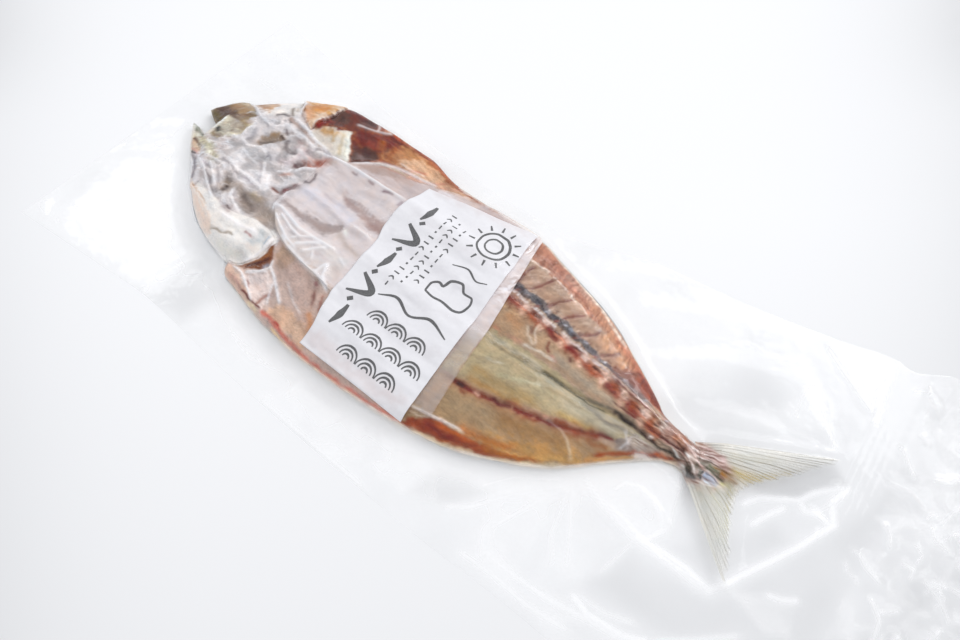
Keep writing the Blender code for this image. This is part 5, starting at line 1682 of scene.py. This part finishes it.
# Raised folds of the empty film: path, height, width
FOLDS = [
    # the drawn-down pocket round the tail fin
    ([(228, -28), (245, -31.5), (254, -33), (267, -31.7), (274, -24.6), (281, -13), (287, -2), (291, 6),
      (294.4, 12.5), (290.6, 19.7), (292.6, 27)], 1.7, 1.1),
    ([(266, -2), (270, 4), (281, 12), (286, 23), (292.6, 27)], 1.5, 1.0),
    ([(282, 13), (288, 11.5), (293.5, 11.5)], 1.0, 0.8),
    ([(272.5, -4.5), (275, 1), (278.2, 6)], 0.9, 0.8),
    ([(220, -25.4), (232, -29), (245.4, -31.6)], 1.2, 0.9),
    ([(227.7, -28), (231, -21), (236.6, -17.2), (246, -19), (255.6, -23.7)], 1.2, 1.0),
    ([(228, -10), (236, -8), (247, -9)], 0.9, 0.8),
    ([(201, -48), (209, -36.4), (218.5, -32)], 1.3, 1.2),
    ([(217, -31), (222, -40), (225, -50), (232, -58)], 1.2, 1.2),
    ([(237, -59.6), (248, -59.3), (263, -54.7)], 1.0, 1.2),
    ([(244, -33), (250, -45), (262, -52)], 0.9, 1.6),
    # soft pulls beside the fish on the backbone side
    ([(235, 19), (250, 26), (268, 31)], 1.6, 2.6),
    ([(262, 52), (272, 44), (284, 36)], 1.6, 2.2),
    ([(212, 24), (236, 42), (264, 53)], 1.9, 3.0),
    ([(264, 75), (276, 66), (290, 56)], 1.6, 1.4),
    ([(196, 40), (215, 52), (240, 66)], 1.3, 3.4),
    ([(170, 44), (186, 52), (200, 62)], 1.0, 3.0),
    # belly side
    ([(62, -47), (75, -58), (90, -64), (105, -62), (120, -56)], 1.7, 2.4),
    ([(122, -54), (119, -70)], 1.2, 1.4),
    ([(139, -53), (136, -69)], 1.2, 1.4),
    ([(155, -51), (163, -70)], 1.4, 1.5),
    ([(51, -41), (45, -50), (42, -62), (39, -70)], 2.0, 1.6),
    ([(56, -43), (54, -52), (56, -62)], 1.2, 2.0),
    ([(176, -48), (182, -60), (184, -70)], 1.1, 1.6),
    ([(196, -41), (204, -52), (214, -66)], 1.0, 1.8),
    # head end
    ([(-28, -66), (-20, -74)], 0.9, 1.2),
    ([(-27, -60), (-14, -66), (-6, -74)], 0.8, 1.2),
    ([(-26, 0), (-16, 2), (-9, 4)], 0.8, 1.8),
    ([(-24, 30), (-12, 24), (-4, 20)], 0.9, 2.2),
    ([(-20, -30), (-6, -24), (4, -18)], 0.9, 2.2),
    ([(6, 26), (0, 40), (-8, 58)], 0.9, 2.4),
    ([(30, 48), (28, 56), (30, 64)], 0.8, 2.0),
]
# Fine creases in the empty film, with painted highlights along them: path, strength
CREASES = [
    ([(220, -25), (224, -27), (232, -29.4), (243, -32), (252, -29.6), (262, -29.4), (270.6, -31),
      (273, -27.4)], 0.8),
    ([(272, -29.6), (277, -20), (281.6, -12), (287, -2), (291, 7), (293.6, 12.4), (290, 19), (292.8, 27)],
      0.9),
    ([(266, -1), (270, 5), (276, 9), (281, 12.4), (284, 18), (292.6, 27)], 0.6),
    ([(281.4, 12), (284, 10.6), (288, 12), (293.4, 11.6)], 0.8),
    ([(286, 10.4), (289, 16), (292, 22)], 0.4),
    ([(271.6, -5), (275, 2), (278.6, 8)], 0.7),
    ([(229, -10), (232, -7.8), (241, -6.8), (248.6, -9.4)], 0.6),
    ([(230, -23), (231.6, -18.4), (236, -16.2), (242, -16.6), (246.4, -20), (249.6, -24), (247.4, -29),
      (243, -31.6)], 0.8),
    ([(233, -25.4), (240, -27.6), (246, -27)], 0.5),
    ([(217, -30), (210, -46), (203, -62)], 0.45),
    ([(193, -50), (201, -40), (217, -29)], 0.6),
    ([(218, -30), (225, -41), (232, -54)], 0.4),
    ([(206, -65), (220, -65), (232, -64), (247, -61), (256, -59.6)], 0.6),
    ([(263, -55), (275, -45), (285, -36)], 0.4),
    ([(204, 45), (217, 48), (229, 49), (239, 55)], 0.3),
    ([(239, 55), (250, 56), (263, 62)], 0.3),
    ([(217, -31), (211.6, -37), (204, -45), (195, -57), (188, -62)], 0.55),
    ([(217, -31), (219.6, -38), (222, -48), (228, -56)], 0.45),
    ([(236.6, -58), (244, -60.2), (256, -58.6), (263.4, -55)], 0.85),
    ([(238, -57.4), (248, -56.6), (258, -53)], 0.4),
    ([(244, -33), (242.4, -40), (240.4, -48)], 0.35),
    ([(200, -70), (214, -69), (228, -69.6), (243, -67.4)], 0.5),
    ([(285, -21), (290, -19.4), (294.6, -16)], 0.5),
    ([(264.6, 72.4), (272, 67.4), (281, 62), (288.4, 57.6)], 0.6),
    ([(287, 82), (288, 74), (288.6, 66), (290.4, 58), (291, 54)], 0.5),
    ([(268, 57), (266, 50), (266.4, 42), (268, 38)], 0.35),
    ([(268, 57), (272.6, 49), (279, 41), (284, 36)], 0.4),
    ([(250, 27), (258, 30.6), (270, 34), (278, 35)], 0.3),
    ([(208, 46.6), (218, 47.4), (228, 47.2)], 0.2),
    ([(215, 51), (228, 54.6), (240, 57)], 0.2),
    ([(66, -47), (74, -56), (85, -62), (97, -64.2), (107, -62), (118, -56)], 0.35),
    ([(118.4, -55), (119, -70)], 0.4),
    ([(138, -52), (136.6, -68)], 0.4),
    ([(155, -51), (162, -62), (166, -70)], 0.3),
    ([(42, -42), (43, -56), (42, -70)], 0.3),
    ([(110, -73.2), (130, -73.4), (165, -73.6)], 0.5),
    ([(-28, -66), (-20, -72)], 0.4),
]
# Strengths of the painted highlights and sheen on the film: along creases, around them, in the whitish
# ripples, on the near slope, on the crinkles and the mouth's net, and their most on the front and the back
# film
CREASE_HIGHLIGHT = 0.8
CREASE_GLOW = 0.16
SHEEN_WHITE = 0.52
SLOPE_SHEEN = 0.5
CRINKLE_HIGHLIGHT = 0.22
NET_HIGHLIGHT = 0.24
FRONT_SHEEN = 0.42
BACK_SHEEN = 0.235
# Painted shade where the empty film looks greyer: outline or path, softness, share of the light it keeps back
SHADES = [
    (closed((255, -27), (270, -29), (281, -11), (284, -2), (278, 0), (270, -10), (262, -16)), 8.0, 0.045),
    (closed((264, 6), (270, 6), (281, 13), (288, 24), (291, 28), (284, 31), (276, 22)), 5.0, 0.13),
    (closed((272, -32), (280, -16), (292, 4), (304, 30), (304, -30), (290, -50), (240, -52), (246, -36)),
            9.0, 0.045),
    (closed((228, 14), (250, 12), (266, 26), (262, 46), (244, 48), (230, 36)), 14.0, 0.045),
    (closed((224, -60), (262, -50), (290, -46), (290, -70), (230, -72)), 8.0, 0.01),
    (closed((46, -44), (60, -46), (66, -56), (64, -70), (46, -70)), 10.0, 0.075),
    (closed((178, -52), (198, -48), (190, -60), (176, -66)), 6.0, 0.06),
    ([(96, -56), (108, -58), (124, -57), (140, -57)], 3.0, 0.05),
]
# Painted sheen where the empty film lies in whitish ripples: outline or path, softness, share of white
SHEEN_PATCHES = [
    (closed((-33, -80), (-31, -16), (-4, -2), (20, -28), (60, -42), (70, -47), (114, -54), (160, -51),
            (180, -46), (206, -34), (222, -28), (236, -36), (240, -58), (262, -56), (262, -80)), 5.0, 0.2),
    (closed((-40, -90), (-40, -30), (-14, 4), (0, -8), (20, -28), (40, -38), (56, -41), (48, -90)),
            10.0, 0.42),
    (closed((-40, 4), (-40, 95), (40, 85), (100, 70), (100, 53), (48, 52), (24, 43), (0, 26), (-14, 12)),
            8.0, 0.42),
    (closed((120, 47), (160, 43), (200, 31), (226, 16), (240, 30), (240, 66), (196, 68), (155, 58),
            (120, 57)), 8.0, 0.34),
    (closed((64, -48), (80, -58), (102, -62), (118, -55), (99, -53), (76, -49)), 6.0, 0.5),
    (closed((109, -73), (118, -60), (140, -60), (145, -53), (157, -67), (145, -76)), 6.0, 0.45),
    (closed((157, -67), (164, -57), (177, -51), (187, -63), (174, -68)), 5.0, 0.5),
    (closed((196, -48), (206, -38), (217, -29), (219, -48), (222, -68), (206, -70)), 6.0, 0.45),
    (closed((218, -30), (228, -32), (241, -34), (239, -48), (235, -58), (226, -65), (222, -49)), 6.0, 0.35),
    (closed((216, -24), (222, -18), (234, -9), (246, -8), (250, -13), (252, -25), (244, -32), (230, -31)),
            4.0, 0.5),
    ([(218, -24), (230, -29), (244, -31.4), (256, -31), (269, -32)], 1.8, 0.6),
    (closed((203, -61), (223, -66), (237, -58), (247, -63), (235, -71), (208, -71)), 5.0, 0.45),
    (closed((276, -27), (294, -16), (297, -28), (290, -31)), 4.0, 0.4),
    (closed((266, 76), (288, 83), (291, 60)), 4.0, 0.4),
    (closed((240, 20), (250, 30), (262, 40), (268, 56), (275, 57), (280, 44), (256, 22)), 6.0, 0.35),
]
# Heights of the film: off what it covers, flat beside it, in the seal, in the mouth and at its rim
FILM_GAP = 0.35
FLANGE_HEIGHT = 0.8
SEAL_HEIGHT = 0.55
SEAL_GRAIN_HEIGHT = 0.6
MOUTH_HEIGHT = 1.0
CRINKLE_FOOT = 0.9
RIM_HEIGHT = 0.45
BACK_HEIGHT = 0.16
# How hard the vacuum pulls the film down, and how many rounds it is drawn for
FILM_PULL = 0.03
FILM_ROUNDS = 900
# The front film ends in the seal, and its grid is finer from the tail fin on
FINE_FROM_SHARE = 0.468
SEAL_SHARE = 0.852
HEAD_ROWS = 212
TAIL_ROWS = 254
FILM_COLUMNS = 212
MOUTH_GRID = (90, 280)
BACK_GRID = (240, 110)
CRINKLES = 150
SEED = 11


def crinkles():
    """Short sharp folds thrown over the loose mouth of the pouch: path, height, width."""
    chance = random.Random(SEED)
    folds = []
    for _ in range(CRINKLES):
        x = chance.uniform(SEAL_X + SEAL_WIDTH - 2, MOUTH_END_X - 2)
        y = chance.uniform(BELLY_SIDE[-1][1] + 4, BACKBONE_SIDE[-1][1] - 4)
        length = chance.uniform(4, 15)
        angle = chance.uniform(0, math.pi)
        bend = chance.uniform(-3, 3)
        middle = (x + length / 2 * math.cos(angle) - bend * math.sin(angle),
                  y + length / 2 * math.sin(angle) + bend * math.cos(angle))
        end = (x + length * math.cos(angle), y + length * math.sin(angle))
        folds.append(([(x, y), middle, end], chance.uniform(0.4, 1.7), chance.uniform(0.7, 1.6)))
    return folds


def past_seal(x, y):
    """How far each place lies beyond the middle of the seal."""
    return x - (SEAL_X + SEAL_LEAN * y)


def loose_mouth(x, y):
    """Share from 0 to 1: 1 in the loose mouth beyond the seal."""
    return smooth_step((past_seal(x, y) - SEAL_WIDTH / 2) / 3)


def pouch_plan(along, columns):
    """Plan of a film: x and y at shares along the pouch, from edge to edge."""
    along, across = np.meshgrid(along, np.linspace(0, 1, columns + 1), indexing="ij")
    head = HEAD_END_X + HEAD_END_LEAN * across
    wave = MOUTH_END_WAVE * np.sin(across * MOUTH_END_WAVES * 2 * math.pi)
    mouth = MOUTH_END_X + MOUTH_END_LEAN * across + wave
    x = head + (mouth - head) * along
    belly, backbone = edges_at(x, BELLY_SIDE, BACKBONE_SIDE)
    return x, belly + (backbone - belly) * across


def folded(flat, base, folds):
    """The flat film with folds that stand up from a base height."""
    for path, height, width in folds:
        flat = np.maximum(flat, base + height * along_path(field_x, field_y, path, width))
    return flat


def film_field():
    """Height of the film over the contents and the empty parts of the pouch."""
    past = past_seal(field_x, field_y)
    flange = FLANGE_HEIGHT + 0.35 * mottle(field_x, field_y, 17.0, 51)
    flange = flange + 0.15 * mottle(field_x, field_y, 6.0, 52)
    broad = [(path, 0.4 * height, width * 1.4) for path, height, width in FOLDS]
    flange = folded(flange, FLANGE_HEIGHT, broad)
    mouth = folded(MOUTH_HEIGHT + 0.5 * mottle(field_x, field_y, 9.0, 53), CRINKLE_FOOT, crinkles())
    flange = np.where(past > SEAL_WIDTH / 2, mouth, flange)
    flange = np.where(np.abs(past) <= SEAL_WIDTH / 2, SEAL_HEIGHT, flange)
    under = np.where(contents > 0, contents + FILM_GAP, 0)
    return softened(drawn_over(np.maximum(under, flange), FILM_PULL, FILM_ROUNDS), 2)


def patches(x, y, shapes):
    """The strongest of some soft-edged patches and strokes at each place."""
    share = np.zeros(x.shape)
    for shape, softness, amount in shapes:
        if shape[0] == shape[-1]:
            reach = smooth_step(0.5 + depth_inside(x, y, shape[:-1]) / softness)
        else:
            reach = along_path(x, y, shape, softness)
        share = np.maximum(share, amount * reach)
    return share


def rippled_sheen(x, y, free, most):
    """Painted sheen of the empty film, which its front and its back skin share: white laid on for reflections
    on its slopes and ripples and for highlights on its creases and crinkled mouth.
    """
    # where the film slopes down beside the fish on the near side, it is painted white: a painted reflection
    # that also lightens the fish's shadow there
    off = -depth_inside(x, y, FISH_OUTLINE)
    slope = np.exp(-((np.maximum(off - 0.6, 0) / 8.0) ** 2) - (np.minimum(off - 0.6, 0) / 0.5) ** 2)
    near_side = smooth_step((4 - y) / 10) * smooth_step((254 - x) / 16)
    haze = SLOPE_SHEEN * slope * near_side * (0.9 + 0.2 * mottle(x, y, 9.0, 62))
    # painted sheen of the whitish ripples, painted highlight beside the creases, and painted highlights on
    # the net of the crinkled mouth
    ripples = 0.86 + 0.36 * mottle(x, y * 1.6, 7.0, 63)
    haze = haze + SHEEN_WHITE * free * ripples * patches(x, y, SHEEN_PATCHES)
    haze = haze + patches(x, y, [(path, 2.4, CREASE_GLOW * strength) for path, strength in CREASES])
    haze = haze + loose_mouth(x, y) * NET_HIGHLIGHT * crumple(x, y, 8.0, 66, 0.8) ** 1.5
    return np.clip(haze, 0, most)


def film_piece(name, film, along, columns, open_end, material):
    """A part of the front film; its open end and its sides come down to the table."""
    x, y = pouch_plan(along, columns)
    past = past_seal(x, y)
    z = read_height(film, x, y)
    under_here = read_height(softened(contents, 1), x, y)
    free = smooth_step((z - under_here - 0.5) / 2.0)
    free = np.where(under_here < 0.5, 1, free)
    # painted highlights along the creases and on the crinkles of the mouth
    strokes = [(path, 1.1, CREASE_HIGHLIGHT * strength) for path, strength in CREASES]
    strokes += [(path, 0.95, CRINKLE_HIGHLIGHT * height) for path, height, _ in crinkles()]
    crease_shine = patches(x, y, strokes)
    z = z + ridges(x, y, [(path, 0.1 * strength, 1.1) for path, strength in CREASES])
    z = z + 0.7 * fold_relief(x, y) + 0.6 * crumpled(x, y)
    z = z + free * (0.05 * mottle(x, y, 4.0, 54) + 0.03 * mottle(x, y, 2.0, 55))
    # the seal is flat, with fine lines along it
    z = np.where(np.abs(past) < SEAL_WIDTH / 2, SEAL_GRAIN_HEIGHT + 0.06 * np.sin(past * 2.6), z)
    rim = np.zeros(z.shape, bool)
    rim[open_end] = True
    rim[:, [0, -1]] = True
    z[rim] = np.minimum(z[rim], RIM_HEIGHT)
    belly, backbone = edges_at(x, BELLY_SIDE, BACKBONE_SIDE)
    edge = np.minimum(y - belly, backbone - y)
    # a faint haze over the seal, a painted highlight along the pouch's side rims and the painted crease
    # highlights, raised to the painted sheen of the empty film where that is stronger
    haze_and_sheen = 0.05 * smooth_step(1.4 - np.abs(past) / (SEAL_WIDTH / 2))
    haze_and_sheen = haze_and_sheen + 0.12 * np.exp(-(edge / 0.8) ** 2) * (0.6 + 0.4 * mottle(x, y, 14.0, 57)) + crease_shine
    haze_and_sheen = np.maximum(haze_and_sheen, rippled_sheen(x, y, free, FRONT_SHEEN))
    # painted shade on the film, which dims its clear colour: patches, a dappled shade in the mouth, and a
    # faint mottle
    dapple = 0.4 + mottle(x, y, 7.0, 58) + 0.5 * mottle(x, y, 3.0, 59)
    shade = patches(x, y, SHADES) + loose_mouth(x, y) * 0.03 * dapple + 0.02 * mottle(x, y, 12.0, 60) * free
    shade = np.clip(shade * (1 - 2 * crease_shine), 0, 0.3)
    slack = 0.1 + 0.9 * smooth_step(depth_inside(x, y, MEMBRANE) / 4 + 0.3)
    masks = {"haze_and_sheen": np.clip(haze_and_sheen, 0, 0.9), "slack": slack, "shade": shade}
    return grid_piece(name, x, y, z, material, None, masks)


def build_film():
    """The front film, its loose mouth, and the film that the pack lies on."""
    film = film_field()
    material = film_material("clear_front_film", 0.006, 0.15)
    head_part = np.linspace(0, FINE_FROM_SHARE, HEAD_ROWS)[:-1]
    along = np.concatenate([head_part, np.linspace(FINE_FROM_SHARE, SEAL_SHARE, TAIL_ROWS)])
    front = film_piece("front_film", film, along, FILM_COLUMNS, 0, material)
    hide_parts(NODE)
    along = np.linspace(SEAL_SHARE, 1, MOUTH_GRID[0])
    film_piece("mouth_film", film, along, MOUTH_GRID[1], -1, material)
    x, y = pouch_plan(np.linspace(0, 1, BACK_GRID[0]), BACK_GRID[1])
    z = BACK_HEIGHT + 0.05 * mottle(x, y, 8.0, 56)
    masks = {"haze_and_sheen": rippled_sheen(x, y, 1.0, BACK_SHEEN), "slack": 0 * x, "shade": 0 * x}
    grid_piece("back_film", x, y, z, film_material("clear_back_film", 0.003, 0.1), None, masks)


# ---------------------------------------------------------------- table, light and camera

CAMERA_AT = (226.58, -91.58, 221.61)
CAMERA_LOOKS = (-0.28816, 0.37063, -0.88295)
CAMERA_LENS = 24.375
SENSOR_WIDTH = 36.0
# Middle of the picture on the table, and the directions into the picture and across it
PICTURE_MIDDLE = (134, 27)
INTO_PICTURE = (-0.612, 0.790)
ACROSS_PICTURE = (0.789, 0.614)
# The table's brightness is painted on a grid that widens from 0.45 m to 3 m
TABLE_POINTS = 141
TABLE_MIDDLE = 0.45
TABLE_REACH = 3.0
TABLE_COLOUR = (0.905, 0.908, 0.922)
SKY_COLOUR = (0.97, 0.98, 1.0, 1)
SKY_STRENGTH = 0.81
# Area lights: name, place in metres, size, power
LAMPS = (
    ("softbox", (0.62, 2.05, 1.75), (2.4, 1.6), 30.0),
    ("window_panel", (0.25, 0.95, 0.70), (0.24, 0.16), 0.8),
    ("side_panel", (-0.85, 0.10, 0.75), (0.20, 0.20), 0.3),
)


def table_shade(x, y):
    """Brightness of the table from 0 to 1: it falls off towards the near side and both ends."""
    off_x, off_y = x - PICTURE_MIDDLE[0], y - PICTURE_MIDDLE[1]
    ahead = INTO_PICTURE[0] * off_x + INTO_PICTURE[1] * off_y
    aside = ACROSS_PICTURE[0] * off_x + ACROSS_PICTURE[1] * off_y
    near = np.clip((20 - ahead) / 158, 0, 2)
    end = np.clip(np.abs(aside) / np.clip(188.6 + 0.331 * ahead, 60, 400), 0, 1.3)
    far = smooth_step((ahead - 60) / 80)
    wanted = 252 - 12 * near ** 1.3 - 10 * end ** 5 - 8 * far * end ** 8
    lit = 248.4 + 0.012 * ahead + 0.014 * aside
    # even again well outside the picture
    seen = smooth_step((440 - np.hypot(x - 120, y - 30)) / 120)
    return 0.88 * (1 - seen) + np.clip((wanted / lit) ** 2.3, 0.78, 1.1) * seen


def build_stage():
    """The table, the lights and the photo's camera."""
    spread = np.linspace(-1, 1, TABLE_POINTS)
    spread = TABLE_MIDDLE * spread + (TABLE_REACH - TABLE_MIDDLE) * spread ** 5
    east, north = np.meshgrid(spread, spread, indexing="ij")
    origin = place((0, 0, 0))
    shade = table_shade((east - origin[0]) / MILLIMETRE, (north - origin[1]) / MILLIMETRE)
    corners = np.stack([east, north, 0 * east], axis=-1).reshape(-1, 3)
    material, tree, shader = new_material("white_table")
    feed(tree, shader, {
        "Base Color": attribute(tree, "paint", "Color"), "Roughness": 1.0, "Specular IOR Level": 0.0,
    })
    colours = shade.reshape(-1, 1) * np.array(TABLE_COLOUR)
    table = mesh_object("table", corners, quads(*east.shape), material, colours)

    world = bpy.data.worlds.new("studio")
    world.use_nodes = True
    sky = world.node_tree.nodes["Background"]
    feed(world.node_tree, sky, {"Color": SKY_COLOUR, "Strength": SKY_STRENGTH})
    bpy.context.scene.world = world
    for name, offset, size, power in LAMPS:
        light = bpy.data.lights.new(name, "AREA")
        light.shape = "RECTANGLE"
        light.size, light.size_y = size
        light.energy = power
        lamp = scene_object(name, light)
        lamp.location = offset
        lamp.rotation_euler = Vector(offset).to_track_quat("Z", "Y").to_euler()

    camera = bpy.data.cameras.new("camera")
    camera.lens = CAMERA_LENS
    camera.sensor_width = SENSOR_WIDTH
    camera.sensor_fit = "HORIZONTAL"
    camera.clip_start = 0.01
    viewer = scene_object("camera", camera)
    viewer.location = place(CAMERA_AT)
    viewer.rotation_euler = Vector(CAMERA_LOOKS).to_track_quat("-Z", "Y").to_euler()
    bpy.context.scene.camera = viewer
    bpy.context.scene.view_settings.view_transform = "Standard"


build_stage()
build_body()
build_skin()
build_head()
build_tail()
build_sheet()
build_label()
build_film()
